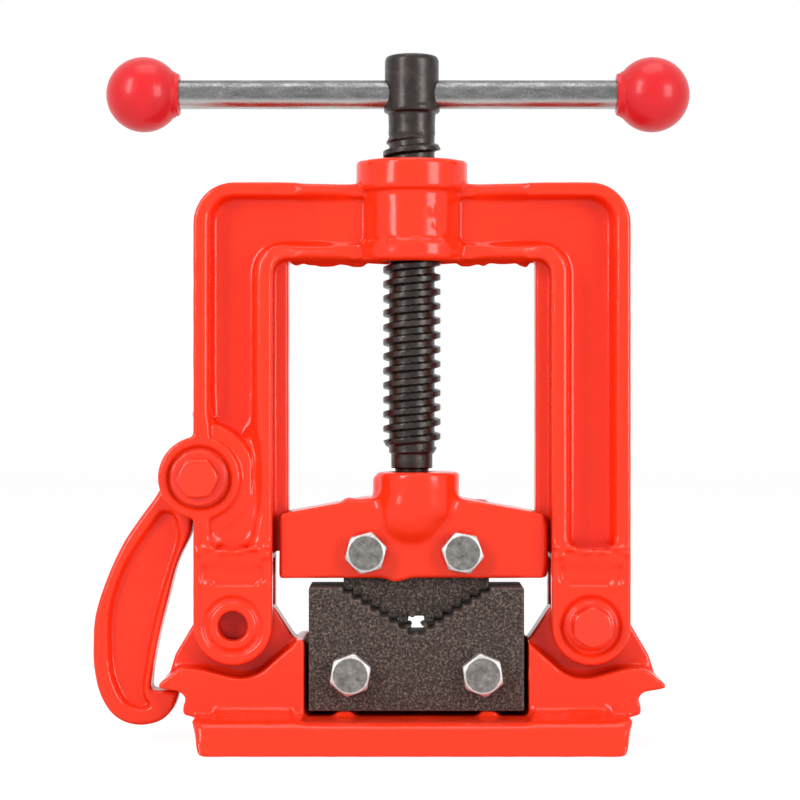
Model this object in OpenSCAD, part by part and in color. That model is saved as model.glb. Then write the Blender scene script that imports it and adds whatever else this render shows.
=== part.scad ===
// Hinged-yoke pipe vise for the workbench: a base with a fixed V jaw, a yoke that swings
// open on a hinge bolt, a latch that holds it shut, and a screw-driven crosshead with the
// upper jaw. Millimetres, +Z up, the front faces -Y, origin under the middle of the base.

/* [Yoke] */
// Clear width between the inner flanges of the two legs
throat_w = 95.2; // [92:0.2:104]
// Width of one leg across its flanges
leg_w = 26.9; // [25:0.1:29]
// Height of the underside of the top beam
throat_h = 166.2; // [160:0.2:176]
// Height of the top beam
beam_h = 26; // [22:0.5:30]
// Depth of the yoke casting, front to back
yoke_d = 30; // [29:0.5:33]
// Thickness of the web between the flanges
web_t = 11; // [9:0.5:13]
// Width of the outer flange
rim_w = 5.6; // [4.5:0.1:7]
// Width of the inner flange
flange_w = 6; // [5:0.1:7]
// Outer corner radius of the top beam
shoulder_r = 14; // [10:0.5:17]
// How far each guide rib stands off its leg
rib_h = 5.1; // [4.4:0.1:5.6]
// Width of a guide rib, front to back
rib_w = 10; // [7:0.5:10]

/* [Nut boss] */
// Diameter of the top ring of the boss
boss_ring_d = 38.4; // [36:0.1:40]
// Diameter of the drum between the rings
boss_drum_d = 34.4; // [31:0.1:34.8]
// Height of the top ring above the beam
boss_stand = 8.2; // [6:0.2:14]

/* [Screw] */
// Outer diameter of the thread
screw_d = 20; // [18:0.5:22]
// Core diameter of the thread
screw_core_d = 15.8; // [14:0.2:16.6]
// Thread pitch
pitch = 5; // [4:0.5:6]
// Thread that shows above the boss with the vise closed
thread_over = 8.6; // [8:0.2:24]
// Height of the head above the thread
head_h = 28.4; // [27:0.2:34]
// Diameter of the head at its top
head_d = 18.7; // [17:0.1:19.6]

/* [Handle] */
// Diameter of the sliding bar
bar_d = 10; // [8:0.5:10]
// Distance between the centres of the two knobs
bar_span = 176; // [150:1:200]
// How far the bar sits left of the screw at rest
bar_offset = 4.8; // [0:0.1:12]
// Diameter of a knob
knob_d = 26; // [22:0.5:30]

/* [Crosshead] */
// Height of the crosshead's underside with the vise closed
crosshead_z = 57; // [56.5:0.1:59]
// Height of the crosshead in the middle
crosshead_h = 27.5; // [26:0.5:30]
// Height of the crosshead at its ends
crosshead_end_h = 22; // [19:0.5:24]
// Depth of the crosshead in front of the screw axis
crosshead_front = 10; // [9.5:0.5:11]
// Depth of the crosshead behind the screw axis
crosshead_back = 12; // [11.5:0.5:14]
// Diameter of the boss that holds the screw's tip
socket_d = 27; // [25:0.5:30]
// Height of that boss above the crosshead
socket_h = 7.1; // [5:0.1:9]

/* [Jaws] */
// Width of the lower jaw
jaw_w = 73.2; // [70:0.2:76]
// Depth of the lower jaw, front to back
jaw_d = 28; // [24:0.5:28]
// Height of the lower jaw
jaw_h = 41.9; // [40:0.1:43]
// Width of one jaw step
step_w = 3.15; // [2.8:0.05:3.3]
// Height of one jaw step
step_h = 2; // [1.7:0.05:2.2]
// Steps on each side of the lower jaw
steps = 8; // [7:1:8]
// Thickness of the upper jaw
upper_jaw_t = 13; // [11:0.5:13]
// How far the jaws sit right of the screw's axis
jaw_shift = 1.5; // [0:0.1:2]
// Height of the upper jaw's teeth over the steps of the lower jaw, closed
jaw_gap = 1.3; // [1:0.1:1.6]

/* [Base] */
// Width of the plinth
plinth_w = 145; // [144:0.5:156]
// Depth of the plinth
plinth_d = 76; // [72:0.5:90]
// Height of the plinth
pad_h = 11.2; // [10.8:0.1:13]
// Depth of the upright part of the base
body_d = 34; // [33:0.5:37]
// Height of the seat floor
seat_floor = 10.5; // [9:0.5:11.5]
// Height of the nubs that the lower jaw stands on
nub_h = 1.8; // [1:0.1:2.4]
// Height of the shoulders beside the seat
shoulder_h = 36.6; // [34:0.2:39]
// Thickness of the wall behind the lower jaw
seat_wall = 5; // [4:0.5:6.5]
// Spacing of the bench bolts, left to right
bench_x = 110; // [104:0.5:114]
// Spacing of the bench bolts, front to back
bench_y = 52; // [48:0.5:58]
// Diameter of the bench-bolt holes
bench_hole_d = 9; // [7:0.5:10]

/* [Hinge and latch] */
// Height of the hinge bores
pivot_z = 41; // [39:0.2:43]
// Diameter of the hinge bolt
hinge_d = 10; // [8:0.5:11]
// Thickness of the base lugs inside the forked feet
lug_t = 13.4; // [11:0.2:14]
// Height of the latch bolt
latch_z = 91.5; // [90:0.1:94]
// Diameter of the latch bolt
latch_bolt_d = 8; // [7:0.5:9]
// Thickness of the latch
latch_t = 12; // [9:0.5:12]
// Radius of the eye of the latch
latch_eye_r = 11.5; // [10:0.1:11.8]
// Diameter of the jaw bolts
jaw_bolt_d = 8; // [6:0.5:8]

/* [Hidden] */
$fn = 64;

red = [0.93, 0.16, 0.11];
dark_steel = [0.28, 0.25, 0.23];
bright_steel = [0.78, 0.78, 0.76];
black_oxide = [0.2, 0.17, 0.16];

eps = 0.5; // overrun of a cut past the face it opens
bolt_fit = 0.03; // radial clearance of a bolt clamped in its hole
run_fit = 0.05; // radial clearance of a pin that turns in its bore
side_fit = 0.3; // clearance beside a part that swings or slides

// Places of the legs, the hinge and the latch
leg_in = throat_w / 2;
leg_out = leg_in + leg_w;
pivot_x = leg_in + leg_w / 2;
foot_r = leg_w / 2;
foot_slot_t = lug_t + 2 * side_fit;
foot_slot_h = 22; // from the hinge axis to the top of the fork
cheek_t = (yoke_d - foot_slot_t) / 2;
latch_x = leg_out - 2;
latch_lug_r = 14.1;
latch_ring_r = 19.3; // lower ring around the latch's lug
latch_ring_deep = 2; // how far that ring lies below the flanges
yoke_top = throat_h + beam_h;
latch_slot_out = 20; // reach of the latch's slot outwards, inwards, up and down from its bolt
latch_slot_in = 3.5;
latch_slot_up = 16.5;
latch_slot_down = 16.5;
panel_half = 10.9; // panel above the hinge: half its width, its foot, height and depth
panel_low = 13.6;
panel_h = 8.4;
panel_deep = 1.4;
recess_low = pivot_z + foot_slot_h + 3.5;
ring_in = 8.1; // groove around each hinge boss: inner and outer radius, and depth
ring_out = 10.2;
ring_deep = 1.4;
top_rim_h = 4.7; // flange along the top of the beam
low_rim_h = 5.2; // flange along the underside of the beam
low_ring_h = 6.6; // ring at the foot of the nut boss
ring_sink = 2.3; // how far the top ring of the boss reaches below the beam's top

// Hexagon heads: width across flats and height
jaw_head = [13, 5.5];
hinge_head = [13.5, 6.4];
hinge_nut_size = [16, 8];
latch_head = [13, 5.3];
latch_nut_size = [13, 6.5];
washer_t = 1.6;
latch_washer_d = 19;
hinge_washer_d = 19;
shank_over = 2; // thread that stands out of a nut

// Jaws and crosshead
jaw_y = body_d / 2 - seat_wall - jaw_d; // front face of the lower jaw
seat_half = jaw_w / 2 + 1.5;
jaw_z = seat_floor + nub_h;
vee_z = jaw_z + jaw_h - steps * step_h; // bottom of the lower V
flank_gap = 0.45; // between the upright faces of the two stairs
notch_z = vee_z + 5.8; // roof of the notch between the upper jaw's lowest teeth
notch_half = step_w - 0.1;
upper_steps = 7;
upper_half = (upper_steps + 1) * step_w - flank_gap;
upper_top = crosshead_z + 16.2;
upper_y = -5; // front face of the upper jaw
slot_gap = 0.2; // clearance over, beside and behind the upper jaw
jaw_bolt_x = jaw_w / 2 - 14.2; // from the middle to each lower jaw bolt
jaw_bolt_z = jaw_z + 12.7;
upper_bolt_x = upper_half * 2 / 3;
bolt_shift = jaw_shift / 2; // how far the upper jaw's bolts sit right of the screw's axis
upper_bolt_z = crosshead_z + 8.9;
upper_bolt_l = 11; // reach of the bolt into the upper jaw
crosshead_half = leg_in - 2.1;
rib_x = leg_in - rib_h; // inner face of a guide rib
socket_z = crosshead_z + crosshead_h;
socket_top = socket_z + socket_h;
bulge_r = 12.8;
bulge_y = -4; // axis of the front bulge, ahead of the screw

// Screw
tip_r = 6.3;
neck_r = 5.85;
groove_r = 4.2;
pin_d = 3;
pin_x = groove_r + 0.2 + pin_d / 2;
pin_z = socket_top - 7.6;
pin_front = -5.2; // blind end of a retaining pin
tip_z = upper_top + 3.8 + side_fit;
socket_bore_r = tip_r + side_fit;
collar_z = socket_top + 2.8;
collar_h = 4.8;
collar_r = 7.2;
thread_z = collar_z + collar_h + 0.6;
thread_top = yoke_top + boss_stand + thread_over;
thread_l = thread_top - thread_z;
head_top = thread_top + head_h;
bar_z = head_top - 13.7;
ring_z = thread_top + 8; // ring under the bar's hole
head_neck_r = screw_core_d / 2 + 0.3;

// Catch nose of the base
lug_r = 12.6; // round top of the lug
side_r = 2; // round lower corners of the plinth
side_lean = 1.1; // how far an end of the plinth leans out to its top, and in to its foot
plinth_draft = 3.2; // how far the plinth's front leans back
edge_r = 4; // round upper edges at the plinth's front and back
nub_half = 3.6; // half the width of a nub under the lower jaw
nose_low_z = pivot_z - 22.2; // underside of the nose
nose_in_x = pivot_x + 15.6; // back of the catch
nose_lip = [nose_in_x + 9.5, nose_low_z + 1.3];
nose_tip = [nose_in_x + 9.7, nose_low_z + 2.6];
nose_bend = [pivot_x + 22.5, pivot_z - 17.6];
end_nub = 1.2; // how far the nub at the end of the plinth stands out from under the catch

// Prism between two Y planes, from an outline drawn in X and Z
module prism(y0, y1) rotate([90, 0, 0]) translate([0, 0, -y1]) linear_extrude(y1 - y0)
    children();

// Prism along X from an outline drawn in Y and Z
module side_prism(x0, x1) rotate([90, 0, 90]) translate([0, 0, x0]) linear_extrude(x1 - x0)
    children();

// Cylinder along Y at a place in X and Z
module pin_y(x, z, r, y0, y1) translate([x, y1, z]) rotate([90, 0, 0]) cylinder(r = r, h = y1 - y0);

// Hexagon along Y, one corner up and then turned
module hex_y(x, z, size, y0, turn = 0) translate([x, y0, z]) rotate([-90, 0, 0])
    rotate([0, 0, 90 + turn]) cylinder(d = size[0] / cos(30), h = size[1], $fn = 6);

// Both sides of the vise
module both() {
    children();
    mirror([1, 0, 0]) children();
}

// Upright rectangle around X = 0 with two round top corners
module arch(half_w, z0, z1, r) {
    translate([-half_w, z0]) square([2 * half_w, z1 - r - z0]);
    translate([-half_w + r, z0]) square([2 * (half_w - r), z1 - z0]);
    for (side = [-1, 1]) translate([side * (half_w - r), z1 - r]) circle(r);
}

// Catmull-Rom curve through hand-set points, n pieces to a span
function curve_at(a, b, c, d, t) = 0.5 * (2 * b + (c - a) * t
    + (2 * a - 5 * b + 4 * c - d) * t * t + (3 * b - a - 3 * c + d) * t * t * t);
function curve(p, n = 4) = [for (i = [0 : len(p) - 2]) for (k = [0 : n - 1])
    curve_at(p[max(i - 1, 0)], p[i], p[i + 1], p[min(i + 2, len(p) - 1)], k / n),
    p[len(p) - 1]];

// ---- Base ----

// Scallop around a foot, as offsets from the hinge axis: from the shoulder out to the brow
scallop = [[-22, 2], [-22, -4.4], [-15.5, -10.6], [-9, -16], [-2.5, -17.6], [4, -16.4],
    [11, -14.6], [18, -14]];

// One end of the base as seen from the front: shoulder, scallop and catch nose
module end_outline() difference() {
    polygon([[seat_half - 3, 0], [seat_half - 3, shoulder_h], [pivot_x, shoulder_h],
        [pivot_x + 18, pivot_z - 10], [pivot_x + 18, pivot_z - 14], nose_bend, nose_tip,
        nose_lip, [nose_in_x + 2, nose_low_z], [nose_in_x, nose_low_z - 2],
        [nose_in_x + end_nub, pad_h + 2.6], [nose_in_x + end_nub, pad_h],
        [plinth_w / 2 + side_lean, pad_h - 1], [plinth_w / 2, 0]]);
    translate([pivot_x, pivot_z]) polygon(concat(curve(scallop), [[18, 2]]));
}

// Lug between the cheeks of a foot, running out to the catch nose
module lug_outline() {
    translate([pivot_x, pivot_z]) circle(lug_r);
    polygon([[pivot_x - 20.5, pivot_z - 20], [pivot_x - 20.5, pivot_z - 4.5],
        [pivot_x - lug_r - 1, pivot_z + 6.2], [pivot_x, pivot_z + 6.2],
        [pivot_x + lug_r, pivot_z + 2.6], [pivot_x + 20.4, pivot_z - 10.6],
        nose_bend, nose_tip, nose_lip, [pivot_x, nose_low_z]]);
}

// Plinth with drafted faces, round upper edges and round lower corners
module plinth() intersection() {
    side_prism(-plinth_w, plinth_w) {
        top_half = plinth_d / 2 - plinth_draft;
        polygon([[-plinth_d / 2, 0], [-top_half, pad_h - edge_r], [edge_r - top_half, pad_h],
            [top_half - edge_r, pad_h], [top_half, pad_h - edge_r], [plinth_d / 2, 0]]);
        for (side = [-1, 1]) translate([side * (top_half - edge_r), pad_h - edge_r]) circle(edge_r);
    }
    prism(-plinth_d, plinth_d) {
        foot_half = plinth_w / 2 - side_lean;
        polygon([[side_r - foot_half, 0], [foot_half - side_r, 0], [foot_half, side_r],
            [plinth_w / 2 + side_lean, pad_h], [-plinth_w / 2 - side_lean, pad_h],
            [-foot_half, side_r]]);
        for (side = [-1, 1]) translate([side * (foot_half - side_r), side_r]) circle(side_r);
    }
}

module base() color(red) difference() {
    union() {
        difference() {
            union() {
                plinth();
                prism(-body_d / 2, body_d / 2) {
                    translate([-seat_half, 0]) square([2 * seat_half, shoulder_h - 4.6]);
                    end_outline();
                    mirror([1, 0]) end_outline();
                }
            }
            // seat for the lower jaw, open to the front
            translate([jaw_shift - seat_half, -body_d, seat_floor])
                cube([2 * seat_half, body_d * 1.5 - seat_wall, shoulder_h]);
        }
        prism(-lug_t / 2, lug_t / 2) {
            lug_outline();
            mirror([1, 0]) lug_outline();
        }
        // nubs under the lower jaw
        translate([jaw_shift, 0, 0]) both() prism(-body_d / 2, body_d / 2 - seat_wall)
            translate([jaw_bolt_x + 2.1, 0]) polygon([
                [-nub_half, seat_floor - 1], [-nub_half, seat_floor], [1 - nub_half, jaw_z],
                [nub_half - 1, jaw_z], [nub_half, seat_floor], [nub_half, seat_floor - 1]]);
    }
    both() {
        for (side = [-1, 1]) translate([bench_x / 2, side * bench_y / 2, -eps])
            cylinder(d = bench_hole_d, h = pad_h + 2 * eps);
        // pocket under each hinge
        translate([pivot_x - 15, -body_d / 2 + 6, -eps]) cube([22, body_d - 12, pad_h + 4]);
    }
    // only the right lug is bored: the vise is hinged on that side
    pin_y(pivot_x, pivot_z, hinge_d / 2 + run_fit, -body_d, body_d);
    translate([jaw_shift, 0, 0]) both()
        pin_y(jaw_bolt_x, jaw_bolt_z, jaw_bolt_d / 2 + bolt_fit, 0, body_d);
}

// ---- Jaws ----

module lower_jaw() color(dark_steel) translate([jaw_shift, 0, 0]) difference() {
    prism(jaw_y, jaw_y + jaw_d) difference() {
        translate([-jaw_w / 2, jaw_z]) square([jaw_w, jaw_h]);
        for (i = [0 : steps - 1]) translate([-(i + 1) * step_w, vee_z + i * step_h])
            square([2 * (i + 1) * step_w, jaw_h]);
    }
    both() pin_y(jaw_bolt_x, jaw_bolt_z, jaw_bolt_d / 2 + bolt_fit, jaw_y - eps, body_d);
}

module upper_jaw() color(dark_steel) translate([jaw_shift, 0, 0]) difference() {
    prism(upper_y, upper_y + upper_jaw_t) difference() {
        for (i = [1 : upper_steps]) let (half = (i + 1) * step_w - flank_gap,
            low = vee_z + i * step_h + jaw_gap)
            translate([-half, low]) square([2 * half, upper_top - low]);
        translate([-notch_half, vee_z]) square([2 * notch_half, notch_z - vee_z]);
    }
    translate([bolt_shift - jaw_shift, 0, 0]) both() pin_y(upper_bolt_x, upper_bolt_z,
        jaw_bolt_d / 2 + bolt_fit, upper_y - eps, upper_y + upper_bolt_l + eps);
}

// Hexagon bolt along Y: head in front of face_y, shank behind it
module bolt_y(x, z, head, d, face_y, reach, turn) {
    hex_y(x, z, head, face_y - head[1], turn);
    pin_y(x, z, d / 2, face_y - 0.1, face_y + reach);
}

module lower_jaw_bolt(side, turn) color(bright_steel)
    bolt_y(jaw_shift + side * jaw_bolt_x, jaw_bolt_z, jaw_head, jaw_bolt_d, jaw_y, jaw_d + seat_wall, turn);
module lower_jaw_bolt_left() lower_jaw_bolt(-1, 10);
module lower_jaw_bolt_right() lower_jaw_bolt(1, -8);

module upper_jaw_bolt(side, turn) color(bright_steel) bolt_y(bolt_shift + side * upper_bolt_x, upper_bolt_z,
    jaw_head, jaw_bolt_d, -crosshead_front, crosshead_front + upper_y + upper_bolt_l, turn);
module upper_jaw_bolt_left() upper_jaw_bolt(-1, 15);
module upper_jaw_bolt_right() upper_jaw_bolt(1, -20);

// ---- Yoke ----

// Hollow between the flanges, as an outline
module recess_outline() difference() {
    arch(leg_out - rim_w, recess_low, yoke_top - top_rim_h, shoulder_r - rim_w);
    arch(leg_in + flange_w, recess_low - 1, throat_h + low_rim_h, flange_w + 3.5);
    translate([-latch_x, latch_z]) circle(latch_lug_r);
}

// Room for the latch's eye and arm inside the left leg
module latch_slot_outline() {
    translate([-latch_x, latch_z]) circle(latch_eye_r + 0.6);
    translate([-latch_x - latch_slot_out, latch_z - latch_slot_down])
        square([latch_slot_out + latch_slot_in, latch_slot_down + latch_slot_up]);
}

module yoke_body() {
    prism(-yoke_d / 2, yoke_d / 2) difference() {
        union() {
            arch(leg_out, pivot_z, yoke_top, shoulder_r);
            for (side = [-1, 1]) translate([side * pivot_x, pivot_z]) circle(foot_r);
            translate([-latch_x, latch_z]) circle(latch_lug_r);
        }
        arch(leg_in, pivot_z - eps - foot_r, throat_h, 5);
    }
    both() translate([rib_x, -rib_w / 2, crosshead_z + 9])
        cube([rib_h + 1, rib_w, throat_h - crosshead_z - 8]);
    translate([0, 0, throat_h]) cylinder(d = boss_drum_d, h = beam_h);
    translate([0, 0, throat_h]) cylinder(d = boss_ring_d - 1, h = low_ring_h);
    translate([0, 0, yoke_top - ring_sink]) cylinder(d = boss_ring_d, h = boss_stand + ring_sink);
}

module yoke_casting() difference() {
    yoke_body();
    difference() {
        union() {
            prism(-yoke_d, latch_ring_deep - yoke_d / 2) recess_outline();
            prism(yoke_d / 2 - latch_ring_deep, yoke_d) recess_outline();
            for (y0 = [-yoke_d, web_t / 2]) prism(y0, y0 + yoke_d - web_t / 2) difference() {
                recess_outline();
                translate([-latch_x, latch_z]) circle(latch_ring_r);
            }
        }
        translate([0, 0, throat_h - 1]) cylinder(d = boss_drum_d, h = beam_h);
    }
    both() {
        // fork of the foot, around the base lug
        translate([leg_in - 1, -foot_slot_t / 2, pivot_z - foot_r - 1])
            cube([leg_w + 2, foot_slot_t, foot_slot_h + foot_r + 1]);
        pin_y(pivot_x, pivot_z, hinge_d / 2 + run_fit, -yoke_d, yoke_d);
        for (face = [-1, 1]) {
            // shallow panel above the hinge
            translate([pivot_x - panel_half, face * yoke_d / 2 - panel_deep, pivot_z + panel_low])
                cube([2 * panel_half, 2 * panel_deep, panel_h]);
            // groove around the hinge boss
            difference() {
                pin_y(pivot_x, pivot_z, ring_out, face * yoke_d / 2 - ring_deep,
                    face * yoke_d / 2 + ring_deep);
                pin_y(pivot_x, pivot_z, ring_in, face * yoke_d / 2 - 2 * ring_deep,
                    face * yoke_d / 2 + 2 * ring_deep);
            }
        }
    }
    prism(-latch_t / 2 - side_fit, latch_t / 2 + side_fit) latch_slot_outline();
    pin_y(-latch_x, latch_z, latch_bolt_d / 2 + bolt_fit, -yoke_d, yoke_d);
    translate([0, 0, throat_h - 2]) cylinder(d = screw_d + 0.16, h = beam_h + boss_stand + 4);
}

// The one casting, as its beam and two legs
module yoke_beam() color(red) intersection() {
    yoke_casting();
    translate([-2 * leg_out, -yoke_d, throat_h]) cube([4 * leg_out, 2 * yoke_d, 2 * yoke_d]);
}
module yoke_leg(low_x) color(red) intersection() {
    yoke_casting();
    translate([low_x, -yoke_d, 0]) cube([2 * leg_w, 2 * yoke_d, throat_h]);
}
module yoke_leg_left() yoke_leg(-leg_out - leg_w / 2);
module yoke_leg_right() yoke_leg(leg_out - leg_w * 1.5);

module hinge_bolt() color(red) bolt_y(pivot_x, pivot_z, hinge_head, hinge_d,
    -yoke_d / 2, yoke_d + washer_t + hinge_nut_size[1] + shank_over, 0);

module washer_y(x, z, d, hole_d, y0) difference() {
    pin_y(x, z, d / 2, y0, y0 + washer_t);
    pin_y(x, z, hole_d / 2 + 0.2, y0 - 1, y0 + washer_t + 1);
}

module hinge_washer() color(bright_steel)
    washer_y(pivot_x, pivot_z, hinge_washer_d, hinge_d, yoke_d / 2);

module nut_y(x, z, size, hole_d, y0, turn) difference() {
    hex_y(x, z, size, y0, turn);
    pin_y(x, z, hole_d / 2 + bolt_fit, y0 - 1, y0 + size[1] + 1);
}

module hinge_nut() color(bright_steel)
    nut_y(pivot_x, pivot_z, hinge_nut_size, hinge_d, yoke_d / 2 + washer_t, 10);

// ---- Latch ----

// Outline of the latch as offsets from its bolt
latch_outer = [[-11, 3], [-15, -5.6], [-21.4, -14.5], [-27, -23], [-32.6, -35], [-36.4, -47],
    [-37.3, -58], [-36.8, -67], [-34.4, -76], [-29.6, -82.6], [-22.5, -85.4], [-14.5, -84.2],
    [-9.6, -79.6], [-7.5, -73.4]];
latch_inner = [[-17.4, -73.4], [-16.6, -65.5], [-14.4, -54], [-11.2, -41], [-8, -29],
    [-3.6, -19.6], [-2.6, -14], [2, -11]];
// Outline of the hollow in each face of the latch
latch_hollow_outer = [[-13.6, -11.6], [-19.6, -19.6], [-26.4, -30.5], [-31, -44], [-31.8, -58],
    [-30.4, -69.5], [-26.2, -77.6], [-20, -80]];
latch_hollow_inner = [[-17, -78.4], [-19.8, -74.6], [-18.8, -65], [-16.6, -53], [-13.4, -40.5],
    [-9.8, -29], [-7.4, -20], [-9.4, -12.4]];

module latch_outline() {
    circle(latch_eye_r);
    polygon(concat(curve(latch_outer), curve(latch_inner)));
}

module latch_hollow() polygon(concat(curve(latch_hollow_outer), curve(latch_hollow_inner)));

module latch() color(red) translate([-latch_x, 0, latch_z]) difference() {
    prism(-latch_t / 2, latch_t / 2) latch_outline();
    prism(-latch_t, -2.4) latch_hollow();
    prism(2.4, latch_t) latch_hollow();
    pin_y(0, 0, latch_bolt_d / 2 + run_fit, -latch_t, latch_t);
}

module latch_bolt() color(red) bolt_y(-latch_x, latch_z, latch_head, latch_bolt_d,
    -yoke_d / 2 - washer_t, yoke_d + washer_t + latch_nut_size[1] + shank_over, 27);
module latch_washer() color(red)
    washer_y(-latch_x, latch_z, latch_washer_d, latch_bolt_d, -yoke_d / 2 - washer_t);
module latch_nut() color(bright_steel)
    nut_y(-latch_x, latch_z, latch_nut_size, latch_bolt_d, yoke_d / 2, 0);

// ---- Crosshead ----

module crosshead() color(red) difference() {
    union() {
        prism(-crosshead_front, crosshead_back) polygon([
            [-crosshead_half, crosshead_z], [crosshead_half, crosshead_z],
            [crosshead_half, crosshead_z + crosshead_end_h], [socket_d / 2 + 2, socket_z],
            [-socket_d / 2 - 2, socket_z], [-crosshead_half, crosshead_z + crosshead_end_h]]);
        cylinder_between(socket_z - 3, socket_top, socket_d / 2);
        translate([0, bulge_y, 0]) cylinder_between(crosshead_z + 10 + bulge_r, socket_z, bulge_r);
        translate([0, bulge_y, crosshead_z + 10 + bulge_r]) sphere(bulge_r);
    }
    // grooves that ride the guide ribs
    both() translate([rib_x - 0.5, -rib_w / 2 - side_fit, crosshead_z - 1])
        cube([rib_h, rib_w + 2 * side_fit, crosshead_h + 2]);
    // slot for the upper jaw
    translate([jaw_shift - upper_half - slot_gap, upper_y, crosshead_z - 1])
        cube([2 * (upper_half + slot_gap), upper_jaw_t + slot_gap,
            upper_top + slot_gap - crosshead_z + 1]);
    cylinder_between(tip_z - side_fit, socket_top + 1, socket_bore_r);
    translate([bolt_shift, 0, 0]) both()
        pin_y(upper_bolt_x, upper_bolt_z, jaw_bolt_d / 2 + bolt_fit, -crosshead_front - 1, 0);
    both() pin_y(pin_x, pin_z, pin_d / 2 + 0.02, pin_front, crosshead_back + 3);
}

module cylinder_between(z0, z1, r) translate([0, 0, z0]) cylinder(r = r, h = z1 - z0);

module retaining_pin(side) color(bright_steel)
    pin_y(side * pin_x, pin_z, pin_d / 2, pin_front, crosshead_back + 0.4);
module retaining_pin_left() retaining_pin(-1);
module retaining_pin_right() retaining_pin(1);

// ---- Screw and handle ----

// Ridge profile of the thread: one trapezoid to each pitch
core_r = screw_core_d / 2;
crest_r = screw_d / 2;
crest_w = pitch * 0.32;
flank_w = pitch * 0.14;
ridges = floor(thread_l / pitch);
thread_profile = [for (i = [0 : ridges - 1]) let (z = thread_z + i * pitch + flank_w)
    each [[core_r, z], [crest_r, z + flank_w], [crest_r, z + flank_w + crest_w],
    [core_r, z + 2 * flank_w + crest_w]]];

module screw() color(black_oxide) difference() {
    rotate_extrude($fn = 96) polygon(concat(
        [[0, tip_z], [tip_r - 1, tip_z], [tip_r, tip_z + 1], [tip_r, pin_z - 1.9],
        [groove_r, pin_z - 1.9], [groove_r, pin_z + 1.9], [neck_r, pin_z + 2.9],
        [neck_r, collar_z], [collar_r, collar_z], [collar_r, collar_z + collar_h],
        [core_r, thread_z]],
        thread_profile,
        [[core_r, thread_top], [head_neck_r, thread_top + 1], [head_neck_r, ring_z],
        [head_d / 2 + 0.4, ring_z + 0.6], [head_d / 2 + 0.4, ring_z + 2],
        [head_d / 2, ring_z + 3], [head_d / 2, head_top - 1.6],
        [head_d / 2 - 1.4, head_top - 0.5], [head_d / 2 - 4, head_top], [0, head_top]]));
    translate([-head_d, 0, bar_z]) rotate([0, 90, 0])
        cylinder(r = bar_d / 2 + run_fit, h = 2 * head_d);
}

module handle_bar() color(bright_steel) translate([-bar_offset - bar_span / 2, 0, bar_z])
    rotate([0, 90, 0]) cylinder(d = bar_d, h = bar_span);

// Ball knob with a flat, necked face where the bar enters
module handle_knob(side) color(red) translate([-bar_offset, 0, bar_z])
    rotate([0, side * 90, 0]) translate([0, 0, bar_span / 2]) difference() {
        union() {
            intersection() {
                sphere(d = knob_d, $fn = 96);
                translate([-knob_d, -knob_d, -knob_d / 2 + 1.6]) cube(2 * knob_d);
            }
            translate([0, 0, -knob_d / 2 + 0.6]) cylinder(d = 14.8, h = 4);
        }
        translate([0, 0, -knob_d]) cylinder(r = bar_d / 2 + bolt_fit, h = knob_d + 0.2);
    }
module handle_knob_left() handle_knob(-1);
module handle_knob_right() handle_knob(1);

base();
lower_jaw();
lower_jaw_bolt_left();
lower_jaw_bolt_right();
yoke_beam();
yoke_leg_left();
yoke_leg_right();
hinge_bolt();
hinge_washer();
hinge_nut();
latch();
latch_bolt();
latch_washer();
latch_nut();
crosshead();
upper_jaw();
upper_jaw_bolt_left();
upper_jaw_bolt_right();
retaining_pin_left();
retaining_pin_right();
screw();
handle_bar();
handle_knob_left();
handle_knob_right();
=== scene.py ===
# %% [markdown]
# # A hinged-yoke pipe vise
#
# The vise is a bench tool: a cast base, an arched yoke that hinges on one foot, a hooked latch, and a
# screw that drives a crosshead with a V jaw. The solids come in as a fixed frame, at their real size in
# metres, with the front towards -Y and the screw on the Z axis. This lesson dresses them: castings get
# their soft edges and thick enamel, the screw gets a real helix, and every bolt gets a proper head.

# %% Load the frame
import math
import random

import bmesh
import bpy
import numpy as np
from mathutils import Matrix, Vector, noise


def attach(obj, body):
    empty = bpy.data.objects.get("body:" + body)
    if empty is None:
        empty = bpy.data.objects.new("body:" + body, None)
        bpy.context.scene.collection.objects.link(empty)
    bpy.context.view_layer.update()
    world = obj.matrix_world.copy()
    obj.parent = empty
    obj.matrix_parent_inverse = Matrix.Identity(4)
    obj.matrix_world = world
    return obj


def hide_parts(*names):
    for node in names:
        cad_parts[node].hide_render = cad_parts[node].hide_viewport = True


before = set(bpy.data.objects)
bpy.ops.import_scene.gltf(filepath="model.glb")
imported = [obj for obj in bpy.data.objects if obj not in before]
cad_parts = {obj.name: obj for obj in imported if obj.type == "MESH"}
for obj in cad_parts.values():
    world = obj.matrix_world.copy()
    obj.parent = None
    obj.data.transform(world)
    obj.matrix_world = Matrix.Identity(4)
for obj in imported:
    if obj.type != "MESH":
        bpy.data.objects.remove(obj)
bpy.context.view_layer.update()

MM = 0.001

# %% [markdown]
# ## Camera
#
# The camera looks square on, from about 0.8 m and at half the vise's height. A wide lens close by would
# show more of the sides and make near parts too large; a short telephoto lens keeps the yoke square and
# shows only a little of its depth. A lens of 106 mm on a 36 mm sensor gives that view.

# %% Camera
EYE = (-4.1 * MM, -815 * MM, 118 * MM)
LENS_MM = 105.9
SENSOR_MM = 36.0

camera_data = bpy.data.cameras.new("studio_camera")
camera_data.lens = LENS_MM
camera_data.sensor_width = SENSOR_MM
camera = bpy.data.objects.new("studio_camera", camera_data)
camera.location = EYE
camera.rotation_euler = (math.radians(90), 0, 0)
bpy.context.scene.collection.objects.link(camera)
bpy.context.scene.camera = camera
bpy.context.scene.view_settings.view_transform = "Standard"
print("camera stands", round(-EYE[1] / MM), "mm in front of the screw's axis")

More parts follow.
